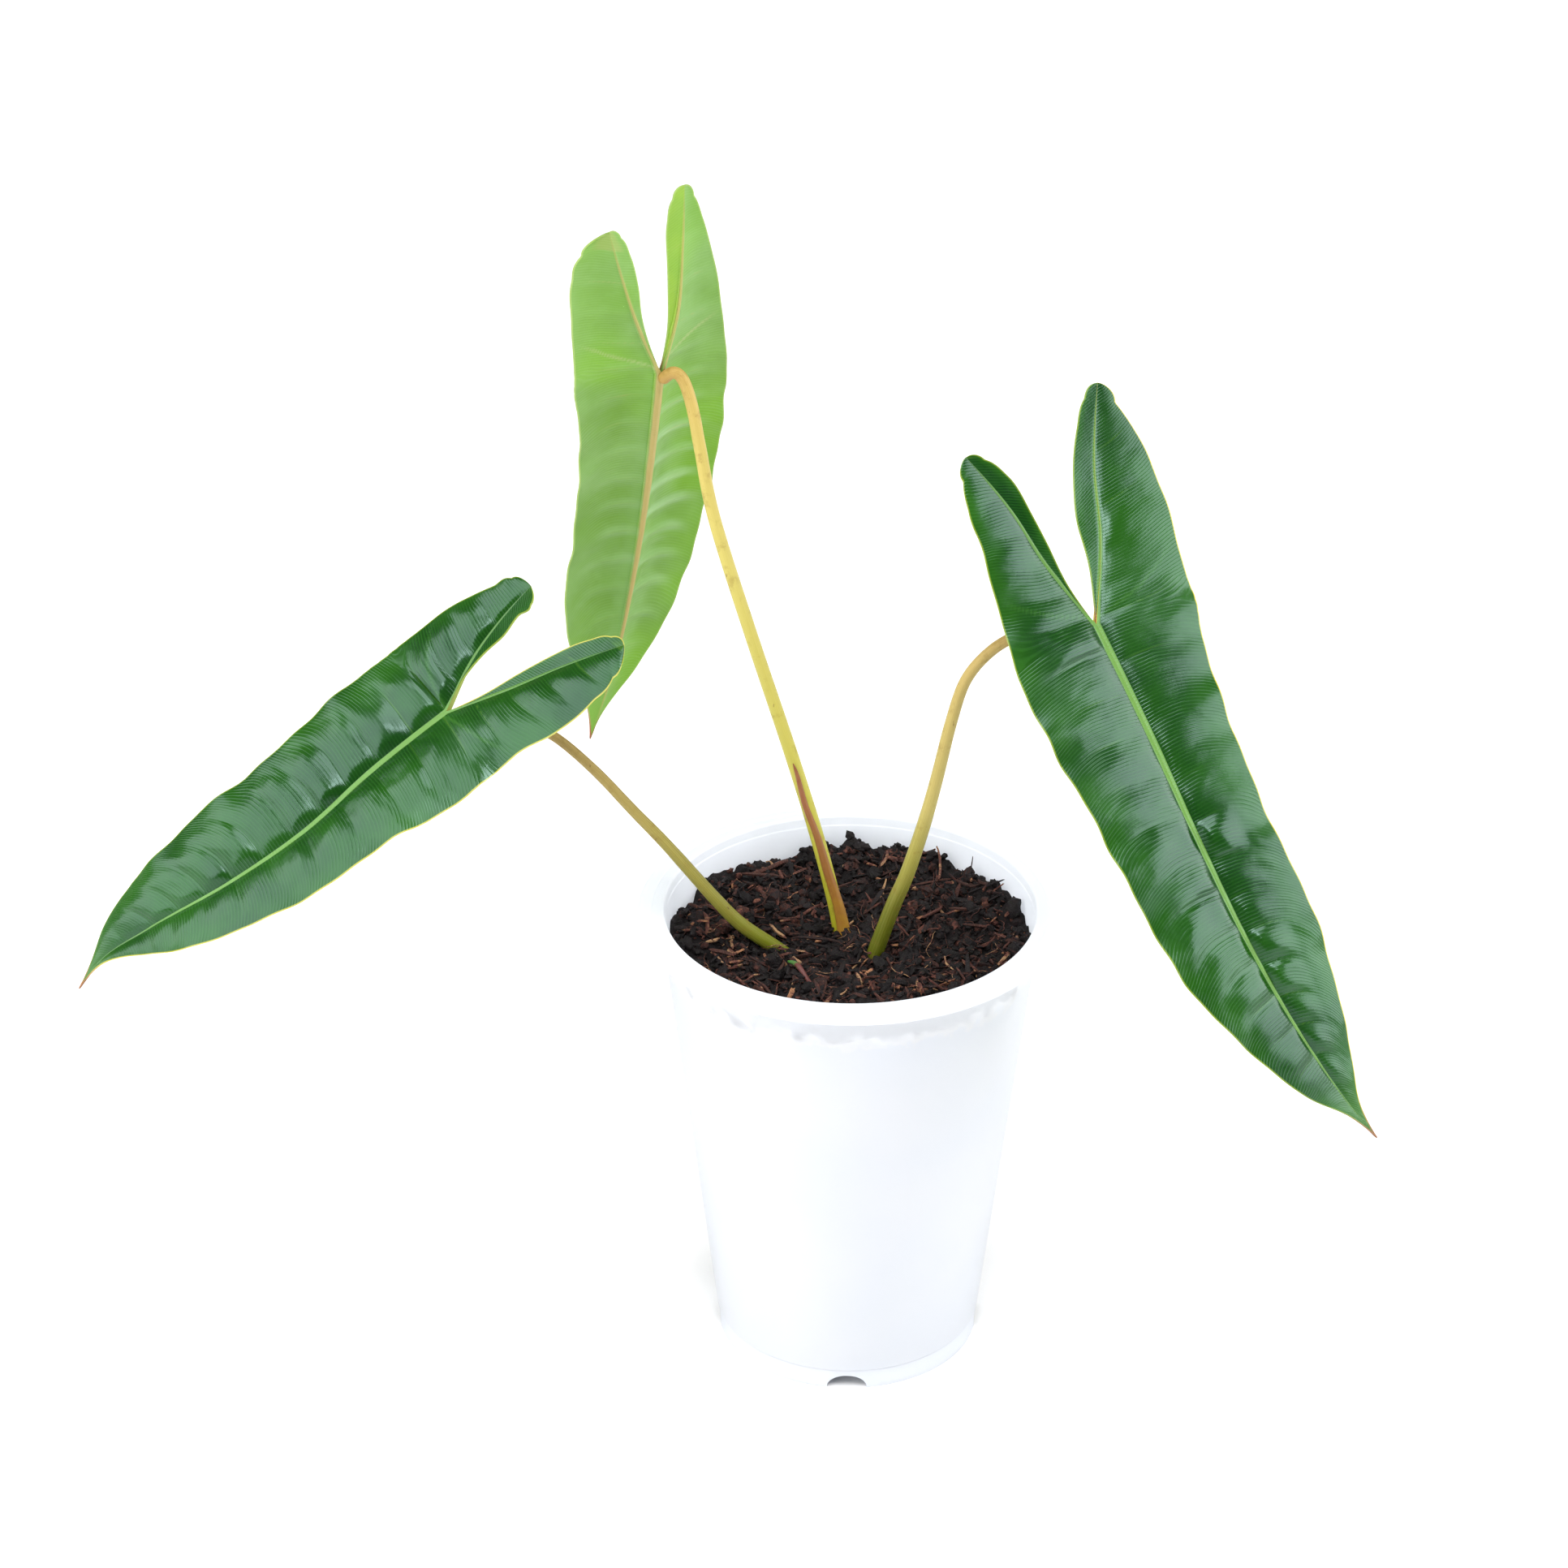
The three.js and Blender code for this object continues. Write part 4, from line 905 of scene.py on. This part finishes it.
def blade_strip(leaf, half, s, inner):
    """One strip of a blade at stations s. A point lies d out from the spine and up by d (rise - droop a),
    where a is d over the strip's width, plus the margin's wave and the swelling between side veins. The
    rib is a low round ridge with a fine groove beside it. An inner strip rises by its flap times d from a
    lobe's rib to the gap."""
    side = {**HALF_DEFAULTS, **leaf[half]}
    point, face, out = spine_frame(leaf, half, s)
    out = -out if inner else out
    length = spine_length(leaf, half, s)[:, None]
    width = rounded_width(leaf, half, inner, s)[:, None]
    rib_half = np.interp(s, RIB_STATIONS, RIB_HALF_WIDTHS)[:, None]
    rib_half = np.minimum(leaf["rib"] * rib_half, 0.3 * width)
    rib_columns = np.array([0, 0.25, 0.5, 0.7, 0.85, 0.95, 1.0, 1.08, 1.2, 1.4])
    share = np.linspace(0, 1, 11 if inner else 34)[1:]
    share = 0.75 * share + 0.25 * np.sin(share * np.pi / 2)
    d = np.concatenate([rib_half * rib_columns, 1.4 * rib_half + (width - 1.4 * rib_half) * share], axis=1)
    a = np.minimum(d / np.maximum(width, 1e-4), 1)
    r = d / np.maximum(rib_half, 1e-4)
    rise, droop = (side["flap"], 0.0) if inner else side["cup"]
    valley = np.where(r < 1, rib_half * (r * r + 1) / 2 * rise, d * rise)
    groove = 0.08 * np.exp(-((r - 1.12) / 0.12) ** 2) * ease(0.2, 0.6, rib_half)
    height = valley - droop * d * a + 0.2 * rib_half * np.clip(1 - r * r, 0, 1) ** 2 - groove
    seed = sum(map(ord, half)) + round(leaf["midrib"][0][0])
    vein = length - 0.9 * d
    if inner:
        height = height + 0.2 * np.sin(vein / 5) * a * width / 8
    else:
        margin = point + out * width
        arc = np.concatenate([[0], np.cumsum(np.linalg.norm(np.diff(margin, axis=0), axis=1))])
        shift = margin_shift(margin, arc, s)
        arc = (arc - np.interp(0, s, arc))[:, None]
        height = height + margin_wave(half, s, arc, width, a)
        vein = outer_veins(s, length, arc, width, a, seed)
    starts, bulges = np.array(side["veins"], float), np.array(side["bulges"])
    k = np.clip(np.searchsorted(starts, vein), 1, len(starts) - 1)
    gap = starts[k] - starts[k - 1]
    t = np.clip((vein - starts[k - 1]) / gap, 0, 1)
    if not inner:
        height = height + swelling(side["swell"], bulges, k, t, vein, d, a, width, seed)
    points = point[:, None] + out[:, None] * d[..., None] + face[:, None] * height[..., None]
    if not inner:
        points = points + shift[:, None] * (a ** 2)[..., None]
    full = lambda values: np.broadcast_to(values, d.shape)
    rib_share = full(ease(0.05, 0.5, rib_half) * (0.75 + 0.25 * ease(-0.1, 0.02, s)[:, None]))
    ridge = full(np.interp(s, [-1, -0.5, 0, 1], [0.3, 0.8, 2.0, 0.4])[:, None])
    basal_vein = starts[np.argmin(np.abs(starts + 2))]
    on_basal = 1 - ease(0.2, 0.9, np.abs(vein + 12 * a - basal_vein))
    marks = {
        "vein": vein,
        "across": a,
        "rib": np.clip((1.15 - r) / 0.3, 0, 1) * rib_share,
        "rim": width - d,
        "along": full(s[:, None]),
        "lateral": np.minimum(t, 1 - t) * gap,
        "gold": full(side.get("gap_gold", side["gold"]) if inner else side["gold"]),
        "sunlit": full(side["sunlit"] * inner),
        "basal": (0 if inner else 1) * on_basal * (1 - ease(0.55, 1, a)),
        "sinus": full((ease(-0.1, -0.01, s) if inner else 0 * s)[:, None]),
        "puff": np.interp(vein, starts, 0.5 * (np.r_[0, bulges] + np.r_[bulges, 0])),
        "ridge": ridge * np.clip(1 - (r / 1.35) ** 2, 0, 1) ** 0.7 * full(ease(0.1, 0.6, rib_half)),
    }
    return points, marks


def blade_sheet(leaf):
    """The blade's middle sheet: both halves, each an outer strip and its lobe's inner strip, welded."""
    s_lobe = -1 + 0.95 * np.linspace(0, 1, 90) ** 1.6
    s_tip = 1 - 0.1 * np.linspace(1, 0, 40)[1:] ** 1.5
    s_outer = np.concatenate([s_lobe, np.linspace(-0.05, 0.9, 230)[1:], s_tip])
    s_inner = np.concatenate([s_lobe, np.linspace(-0.05, 0, 12)[1:]])
    points, quads, marks, first = [], [], [], 0
    for half in ("left", "right"):
        for inner, s in ((False, s_outer), (True, s_inner)):
            place, mark = blade_strip(leaf, half, s, inner)
            rows, columns = place.shape[:2]
            made = grid_quads(rows, columns, first=first)
            turned = (half == "left") == inner
            quads.append(made[:, ::-1] if turned else made)
            points.append(place.reshape(-1, 3))
            marks.append({key: values.reshape(-1) for key, values in mark.items()})
            first += rows * columns
    points = np.concatenate(points)
    marks = {key: np.concatenate([m[key] for m in marks]) for key in marks[0]}
    points, quads, kept = weld(points, np.concatenate(quads))
    quads = quads[whole(quads)[1]]
    return points, quads, {key: values[kept] for key, values in marks.items()}


def open_edges(quads):
    """The edges that only one quad has, in that quad's direction."""
    edges = np.stack([quads, np.roll(quads, -1, axis=1)], axis=-1).reshape(-1, 2)
    edges = edges[edges[:, 0] != edges[:, 1]]
    _, place, count = np.unique(np.sort(edges, axis=1), axis=0, return_inverse=True, return_counts=True)
    return edges[count[place.ravel()] == 1]


def thickened(points, quads, marks, thickness):
    """A closed sheet: each point moved half the thickness along its normal and against it, with the ribs'
    ridges added below, and the open edges joined."""
    normals = point_normals(points, quads)
    ridge = marks.pop("ridge")[:, None]
    top = points + normals * thickness / 2
    bottom = points - normals * (thickness / 2 + ridge)
    count = len(points)
    edges = open_edges(quads)
    rim = np.stack([edges[:, 0], edges[:, 1], edges[:, 1] + count, edges[:, 0] + count], axis=1)[:, ::-1]
    kinds = np.concatenate([np.zeros(len(quads)), np.ones(len(quads)), np.full(len(rim), 2)])
    both = {key: np.tile(values, 2) for key, values in marks.items()}
    return np.concatenate([top, bottom]), np.concatenate([quads, quads[:, ::-1] + count, rim]), kinds, both


# Settings that a user would change


def colour(label, text, default):
    settings = {"subtype": "COLOR", "size": 3, "min": 0, "max": 1}
    return FloatVectorProperty(name=label, description=text, default=default, **settings)


def distance(label, text, default):
    return FloatProperty(name=label, description=text, unit="LENGTH", precision=4, min=0, default=default)


def amount(label, text, default):
    return FloatProperty(name=label, description=text, min=0, default=default)


def number(label, text, default):
    return IntProperty(name=label, description=text, min=0, default=default)


class PlantPotSettings(bpy.types.PropertyGroup):
    height: distance("Height", "From the ground to the rim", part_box("pot")[1].z)
    opening_radius: distance("Opening radius", "Inside the rim", 0.061)
    flange_radius: distance("Flange radius", "Out to the edge of the flange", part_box("pot")[1].x)
    foot_radius: distance("Foot radius", "Outside the foot ring", 0.0438)
    wall: distance("Wall", "Thickness of the plastic", 0.0015)
    band_height: distance("Foot band", "Height of the faint band above the foot", 0.007)
    notch_width: distance("Notch width", "Width of each half-oval notch in the foot", 0.0135)
    notch_height: distance("Notch height", "Height of each notch", 0.005)
    plastic: colour("Plastic", "Colour of the pot", (0.88, 0.895, 0.93))


class PlantSoilSettings(bpy.types.PropertyGroup):
    clods: number("Clods", "Larger lumps on the soil", 220)
    crumbs: number("Crumbs", "Small lumps on the soil", 4200)
    flakes: number("Flakes", "Splinters of bark on the soil", 800)
    sticks: number("Sticks", "Slender pieces of bark on the soil", 150)
    fibres: number("Fibres", "Hair-thin bent fibres on the soil", 700)
    dark: colour("Dark", "Colour of the fine crumb", (0.0098, 0.0066, 0.0072))
    bark: colour("Bark", "Colour of the reddish bark", (0.105, 0.037, 0.028))


class PlantLeafSettings(bpy.types.PropertyGroup):
    thickness: distance("Blade thickness", "Thickness of the blade between its ribs", 0.0005)
    upper_dark: colour("Upper face, dark", "Darkest green of the upper face", (0.002, 0.031, 0.0005))
    upper_light: colour("Upper face, light", "Lightest green of the upper face", (0.009, 0.062, 0.0012))
    under_dark: colour("Underside, dark", "Darker green of the underside", (0.135, 0.28, 0.032))
    under_light: colour("Underside, light", "Lighter green of the underside", (0.18, 0.335, 0.078))
    upper_rib: colour("Upper ribs", "Midrib and lobe ribs on the upper face", (0.10, 0.22, 0.028))
    under_rib: colour("Ribs below", "Midrib and lobe ribs on the underside", (0.40, 0.31, 0.10))
    margin: colour("Margin", "Thin line round the blade", (0.62, 0.50, 0.06))


class PlantStageSettings(bpy.types.PropertyGroup):
    floor_size: distance("Floor size", "Side of the floor", 14.0)
    floor: colour("Floor", "Colour of the floor", (0.86, 0.86, 0.86))
    surround: amount("Surround", "Brightness of the room", 0.17)
    top_light: amount("Top light", "Strength of the wide light above", 2.42)
    side_lights: amount("Side lights", "Power of the soft boxes in watts", 26.0)


class PlantSettings(bpy.types.PropertyGroup):
    pot: PointerProperty(type=PlantPotSettings, name="Pot", description="Sizes and colour of the pot")
    soil: PointerProperty(type=PlantSoilSettings, name="Soil", description="The bark mix")
    leaf: PointerProperty(type=PlantLeafSettings, name="Leaves", description="The blades")
    stage: PointerProperty(type=PlantStageSettings, name="Stage", description="Floor and lights")


# Operators


class PLANT_OT_pot(bpy.types.Operator):
    """Adds the nursery pot"""

    bl_idname = "plant.pot"
    bl_label = "Pot"

    def execute(self, context):
        settings = context.scene.potted_plant.pot
        look = pot_plastic(tuple(settings.plastic))
        points, quads, _ = weld(*pot_surface(settings))
        piece = make_piece("nursery_pot", points, quads, [look], replaces=["pot"])
        points, quads, _ = weld(*drain_cutters())
        cutter = make_piece("drain_cutters", points, quads, [look])
        cut_away(piece, cutter)
        return {"FINISHED"}


class PLANT_OT_soil(bpy.types.Operator):
    """Adds the bark mix: its body, clods, crumbs, flakes, sticks and fibres"""

    bl_idname = "plant.soil"
    bl_label = "Soil"

    def execute(self, context):
        settings = context.scene.potted_plant.soil
        dark, bark = tuple(settings.dark), tuple(settings.bark)
        points, quads, _ = weld(*soil_surface())
        ground = mix_ground(dark, bark)
        make_piece("bark_mix_body", points, quads, [ground], replaces=["soil"])
        rng = np.random.default_rng(40)
        tones = [
            (0.0, scaled(dark, 0.45)), (0.5, dark), (0.74, scaled(bark, 0.4)), (0.9, bark),
            (1.0, (0.28, 0.13, 0.065)),
        ]
        look = mix_pieces("bark_crumbs", tones, 500)
        lumps = (
            ("bark_mix_clods", settings.clods, 56.0, (1.5, 3.4), small_lump(12, 9), 0.16),
            ("bark_mix_crumbs", settings.crumbs, 57.8, (0.35, 1.9), small_lump(6, 5), 0.26),
        )
        for kind in lumps:
            self.add_lumps(*kind, look, rng)
        self.add_flakes("bark_mix_flakes", settings.flakes, mix_pieces("bark_flakes", tones, 260), rng)
        stops = [
            (0.0, scaled(dark, 0.8)), (0.5, (0.055, 0.022, 0.017)), (0.85, bark), (1.0, (0.33, 0.19, 0.10)),
        ]
        look = mix_pieces("bark_fibres", stops, 400)
        self.lay_sticks("bark_mix_laid_sticks", look)
        self.add_fibres("bark_mix_sticks", settings.sticks, (2.0, 9.0), (0.3, 0.75), 0.12, look, rng)
        self.add_fibres("bark_mix_fibres", settings.fibres, (1.2, 5.0), (0.07, 0.16), 0.6, look, rng)
        return {"FINISHED"}

    def add_flakes(self, name, count, look, rng):
        """Seeded splinters on the soil, each the splinter times its own sizes, tilted and turned. A long
        one is rarer than a short one."""
        x, y = spots_on_soil(count, 55.5, rng)
        length = rng.uniform(0, 1, count) ** 2.2 * 5.5 + 1.0
        sizes = np.stack([length / 1.1, rng.uniform(0.3, 1.0, count), rng.uniform(0.2, 0.5, count)], axis=-1)
        places = np.stack([x, y, rough_top(x, y) + rng.uniform(0.3, 2.2, count)], axis=-1)
        tilts = rng.normal(0, 1, (count, 3)) * [0.8, 0.32, 0]
        turns = tilts + rng.uniform([0, 0, 0], [0, 0, 2 * np.pi], (count, 3))
        template, faces = splinter()
        points, quads = scatter(template, faces, places, sizes, turns, 0.22, rng)
        tone = np.repeat(0.25 + 0.75 * rng.uniform(0, 1, count) ** 1.5, len(template))
        make_piece(name, points, quads, [look], marks={"tone": tone}, crease=50)

    def lay_sticks(self, name, look):
        """The single sticks: each a slightly bowed round tube between its ends, resting on the soil."""
        points, quads, tones = np.zeros((0, 3)), np.zeros((0, 4), int), []
        for start, end, radius, tone in STICKS:
            start, end = np.array(start, float), np.array(end, float)
            path = start + np.array([0, 0.35, 0.7, 1])[:, None] * (end - start)
            path[1:3] += 0.06 * np.array([end[1] - start[1], start[0] - end[0], 0])
            ground = rough_top(path[:, 0], path[:, 1])
            path[:, 2] += 0.5 * (ground + ground.max()) + 0.9
            stick, faces, _, _ = tube(path, np.array([0.7, 1.05, 0.9, 0.55]) * radius, 8, 18, 4)
            dents = 0.12 * radius * lattice(stick[:, :1] * 3, stick[:, 1:2] * 3, 1.0, 33)
            quads = np.concatenate([quads, faces + len(points)])
            points = np.concatenate([points, stick + dents])
            tones.append(np.full(len(stick), tone))
        points, quads, kept = weld(points, quads)
        tone = np.concatenate(tones)[kept]
        make_piece(name, points, quads, [look], marks={"tone": tone})

    def add_lumps(self, name, count, reach, radii, shape, jitter, look, rng):
        """Seeded lumps on the soil, each a ball squashed by its own sizes, pushed in and out and turned. A
        lump's radius is small more often than large."""
        x, y = spots_on_soil(count, reach, rng)
        size = radii[0] + (radii[1] - radii[0]) * rng.uniform(0, 1, count) ** 2.4
        sizes = size[:, None] * rng.uniform([0.8, 0.6, 0.5], [1.35, 1.0, 0.95], (count, 3))
        places = np.stack([x, y, rough_top(x, y) + 0.35 * size], axis=-1)
        turns = rng.uniform([-0.8, -0.8, 0], [0.8, 0.8, 2 * np.pi], (count, 3))
        template, faces = shape
        points, quads = scatter(template, faces, places, sizes, turns, jitter, rng)
        centre = np.repeat(places, len(template), axis=0)
        bumps = lattice(points[:, 0] * 1.3 + points[:, 2], points[:, 1] + 0.7 * points[:, 2], 0.9, 31)
        points = centre + (points - centre) * (1 + 0.25 * bumps[:, None])
        far, furthest = np.hypot(points[:, 0], points[:, 1])[:, None], 59.2
        points[:, :2] *= np.minimum(1, furthest / np.maximum(far, 1))
        tone = np.repeat(rng.uniform(0, 1, count) ** 1.6 * 0.8, len(template))
        make_piece(name, points, quads, [look], marks={"tone": tone}, crease=35)

    def add_fibres(self, name, count, halves, radii, curl, look, rng):
        """Seeded bent sticks and fibres. The middle line is p + l t along a bearing, plus a sideways bow of
        t^2 and a wriggle of sin 4t, rising or falling evenly, for t from -1 to 1. Its section is round. No
        point lies further out than the furthest radius or above the highest level."""
        rings, sides, furthest, highest = 9, 5, 58.0, 160.5
        x, y = spots_on_soil(count, 54.0, rng)
        half = halves[0] + (halves[1] - halves[0]) * rng.uniform(0, 1, count) ** 1.8
        bearing = rng.uniform(0, 2 * np.pi, count)
        bow, lift = rng.normal(0, 0.12 + curl / 2, count), rng.normal(0, 0.14 + curl / 2, count)
        t = np.linspace(-1, 1, rings)[None, :]
        forward = half[:, None] * t
        wriggle = curl * 0.25 * np.sin(4 * t + 9 * bearing[:, None])
        sideways = half[:, None] * (bow[:, None] * t * t + wriggle)
        cx = x[:, None] + forward * np.cos(bearing)[:, None] - sideways * np.sin(bearing)[:, None]
        cy = y[:, None] + forward * np.sin(bearing)[:, None] + sideways * np.cos(bearing)[:, None]
        ground = rough_top(x, y)[:, None]
        level = np.maximum(ground, 0.35 * rough_top(cx, cy) + 0.65 * ground)
        cz = level + 1.5 + half[:, None] * lift[:, None] * t
        radius = rng.uniform(*radii, count)[:, None] * np.sqrt(np.clip(1.02 - t ** 4, 0.02, 1))
        v = np.linspace(0, 2 * np.pi, sides, endpoint=False)
        across = radius[..., None] * np.cos(v)
        px = cx[..., None] - across * np.sin(bearing)[:, None, None]
        py = cy[..., None] + across * np.cos(bearing)[:, None, None]
        pz = cz[..., None] + radius[..., None] * np.sin(v)
        inside = np.minimum(1, furthest / np.maximum(np.hypot(px, py), 1e-3))
        points = np.stack([px * inside, py * inside, np.minimum(pz, highest)], axis=-1)
        ends = points[:, [0, -1]].mean(axis=2)
        points = np.concatenate([points.reshape(count, -1, 3), ends], axis=1)
        k = np.arange(sides)
        following, last, first_end = (k + 1) % sides, (rings - 1) * sides, rings * sides
        start = np.stack([following, k] + [np.full(sides, first_end)] * 2, axis=1)
        stop = np.stack([last + k, last + following] + [np.full(sides, first_end + 1)] * 2, axis=1)
        template = np.concatenate([grid_quads(rings, sides, closed=True), start, stop])
        quads = template[None] + (np.arange(count) * (first_end + 2))[:, None, None]
        tone = np.repeat(rng.uniform(0, 1, count), first_end + 2)
        points, quads = points.reshape(-1, 3), quads.reshape(-1, 4)
        make_piece(name, points, quads, [look], marks={"tone": tone})


class PLANT_OT_crown(bpy.types.Operator):
    """Adds the buried stem and its roots"""

    bl_idname = "plant.crown"
    bl_label = "Crown and roots"

    def execute(self, context):
        points, quads, marks = crown_surface()
        roots = 7
        for i in range(roots):
            root, faces, along, _ = tube(root_path(i, roots), [1.7, 1.36, 0.85], 10, 24, 4)
            quads = np.concatenate([quads, faces + len(points)])
            points = np.concatenate([points, root])
            marks = np.concatenate([marks, along])
        points, quads, kept = weld(points, quads)
        look = Look("crown_bark")
        mottle = look.noise(240, 4, 0.6)
        tone = look.math("MULTIPLY_ADD", mottle, 0.5, look.times(look.mark("along"), 0.5))
        tones = [(0.1, (0.20, 0.11, 0.05)), (0.5, (0.42, 0.28, 0.13)), (0.9, (0.50, 0.42, 0.22))]
        roughness = look.span(look.noise(90, 3), 0.3, 0.7, 0.6, 0.9)
        look.finish(look.ramp(tone, tones), roughness, look.bump(look.noise(500, 4), 0.0006))
        make_piece("crown_and_roots", points, quads, [look.material], marks={"along": marks[kept]},
                   replaces=["crown"])
        return {"FINISHED"}


class PLANT_OT_petioles(bpy.types.Operator):
    """Adds the three petioles"""

    bl_idname = "plant.petioles"
    bl_label = "Petioles"

    def execute(self, context):
        for name, leaf in LEAVES.items():
            base, top = leaf["petiole_radius"]
            radii = [base, (base + top) / 2, top, top]
            look = petiole_skin(f"petiole_skin_{name}", PETIOLE_COLOURS[name])
            add_stalk(f"{name}_petiole", leaf["petiole"], radii, 28, 150, look, f"petiole_{name}")
        return {"FINISHED"}


class PLANT_OT_blades(bpy.types.Operator):
    """Adds the three leaf blades"""

    bl_idname = "plant.blades"
    bl_label = "Blades"

    def execute(self, context):
        settings = context.scene.potted_plant.leaf
        margin = tuple(settings.margin)
        looks = []
        for name, face, key in (("leaf_upper", UPPER, "upper"), ("leaf_underside", UNDERSIDE, "under")):
            colours = [tuple(getattr(settings, f"{key}_{kind}")) for kind in ("dark", "light", "rib")]
            looks.append(leaf_skin(name, face, *colours, margin))
        looks.append(margin_skin(margin))
        for name, leaf in LEAVES.items():
            points, quads, kinds, marks = thickened(*blade_sheet(leaf), settings.thickness / MM)
            make_piece(f"{name}_blade", points, quads, looks, kinds, marks,
                       replaces=[f"blade_{name}"], crease=55)
        return {"FINISHED"}


class PLANT_OT_shoots(bpy.types.Operator):
    """Adds the rolled new leaf and the small sprout"""

    bl_idname = "plant.shoots"
    bl_label = "New leaf and sprout"

    def execute(self, context):
        look = shoot_skin("new_leaf_skin", NEW_LEAF_COLOURS)
        add_stalk("rolled_new_leaf", NEW_LEAF_PATH, NEW_LEAF_RADII, 24, 90, look, "new_leaf")
        path = np.array(SPROUT_PATH, float)
        path[:, 2] += soil_top(path[:, 0], path[:, 1])
        look = shoot_skin("sprout_skin", SPROUT_COLOURS)
        add_stalk("soil_sprout", path, SPROUT_RADII, 16, 40, look, "sprout")
        return {"FINISHED"}


class PLANT_OT_stage(bpy.types.Operator):
    """Adds the floor, the lights and the camera"""

    bl_idname = "plant.stage"
    bl_label = "Stage"

    def execute(self, context):
        settings = context.scene.potted_plant.stage
        half = settings.floor_size / 2
        corners = [(-half, -half, 0), (half, -half, 0), (half, half, 0), (-half, half, 0)]
        mesh = bpy.data.meshes.new("studio_floor")
        mesh.from_pydata(corners, [], [(0, 1, 2, 3)])
        look = Look("studio_floor", Roughness=0.9)
        look.finish(look.mix(look.noise(3, 2), tuple(settings.floor), scaled(settings.floor, 0.995)))
        mesh.materials.append(look.material)
        floor = bpy.data.objects.new("studio_floor", mesh)
        context.scene.collection.objects.link(floor)
        world = bpy.data.worlds.new("studio_room")
        world.use_nodes = True
        background = world.node_tree.nodes["Background"]
        background.inputs["Color"].default_value = (1, 1, 1, 1)
        background.inputs["Strength"].default_value = settings.surround
        context.scene.world = world
        context.scene.view_settings.view_transform = "Standard"
        self.add_lights(context, settings)
        lens = bpy.data.cameras.new("camera")
        lens.sensor_width = 36
        lens.lens = 111.8
        lens.clip_start, lens.clip_end = 0.05, 60
        camera = bpy.data.objects.new("camera", lens)
        camera.location = (0, -1.38178, 0.96459)
        camera.rotation_euler = (math.radians(90 - 28.72), 0, math.radians(0.902))
        context.scene.collection.objects.link(camera)
        context.scene.camera = camera
        return {"FINISHED"}

    def add_lights(self, context, settings):
        """A wide light above, and soft boxes with their places, widths, heights and shares of the power."""
        sun = bpy.data.lights.new("wide_top_light", "SUN")
        sun.energy = settings.top_light
        sun.angle = math.radians(45)
        self.set_light(context, sun, (0, -0.2, 2))
        boxes = {
            "right_box": ((1.53, -0.05, 0.78), 1.7, 1.15, 1.18),
            "left_box": ((-1.2, -0.56, 0.83), 1.8, 1.4, 1.14),
            "front_top_box": ((0.1, -1.3, 2.0), 0.8, 0.6, 0.7),
        }
        for name, (place, width, height, share) in boxes.items():
            light = bpy.data.lights.new(name, "AREA")
            light.shape = "RECTANGLE"
            light.size = width
            light.size_y = height
            light.energy = settings.side_lights * share
            self.set_light(context, light, place)

    def set_light(self, context, light, place, target=(0, 0, 0.2)):
        """Links a light at a place, turned so that it shines at the target."""
        made = bpy.data.objects.new(light.name, light)
        made.location = place
        away = Vector(target) - Vector(place)
        made.rotation_euler = away.to_track_quat("-Z", "Y").to_euler()
        context.scene.collection.objects.link(made)


class PLANT_PT_panel(bpy.types.Panel):
    """Lists the plant's pieces and settings"""

    bl_idname = "PLANT_PT_panel"
    bl_label = "Potted Plant"
    bl_space_type = "VIEW_3D"
    bl_region_type = "UI"
    bl_category = "Potted Plant"

    def draw(self, context):
        settings = context.scene.potted_plant
        for group in (settings.pot, settings.soil, settings.leaf, settings.stage):
            box = self.layout.box()
            for key in group.__annotations__:
                box.prop(group, key)
        for kind in OPERATORS:
            self.layout.operator(kind.bl_idname)


OPERATORS = (
    PLANT_OT_pot, PLANT_OT_soil, PLANT_OT_crown, PLANT_OT_petioles, PLANT_OT_blades, PLANT_OT_shoots,
    PLANT_OT_stage,
)
GROUPS = (PlantPotSettings, PlantSoilSettings, PlantLeafSettings, PlantStageSettings, PlantSettings)


def register():
    for kind in (*GROUPS, *OPERATORS, PLANT_PT_panel):
        bpy.utils.register_class(kind)
    bpy.types.Scene.potted_plant = PointerProperty(type=PlantSettings)


def unregister():
    del bpy.types.Scene.potted_plant
    for kind in reversed((*GROUPS, *OPERATORS, PLANT_PT_panel)):
        bpy.utils.unregister_class(kind)


def main():
    register()
    bpy.ops.plant.pot()
    bpy.ops.plant.soil()
    bpy.ops.plant.crown()
    bpy.ops.plant.petioles()
    bpy.ops.plant.blades()
    bpy.ops.plant.shoots()
    bpy.ops.plant.stage()


if __name__ == "__main__":
    main()
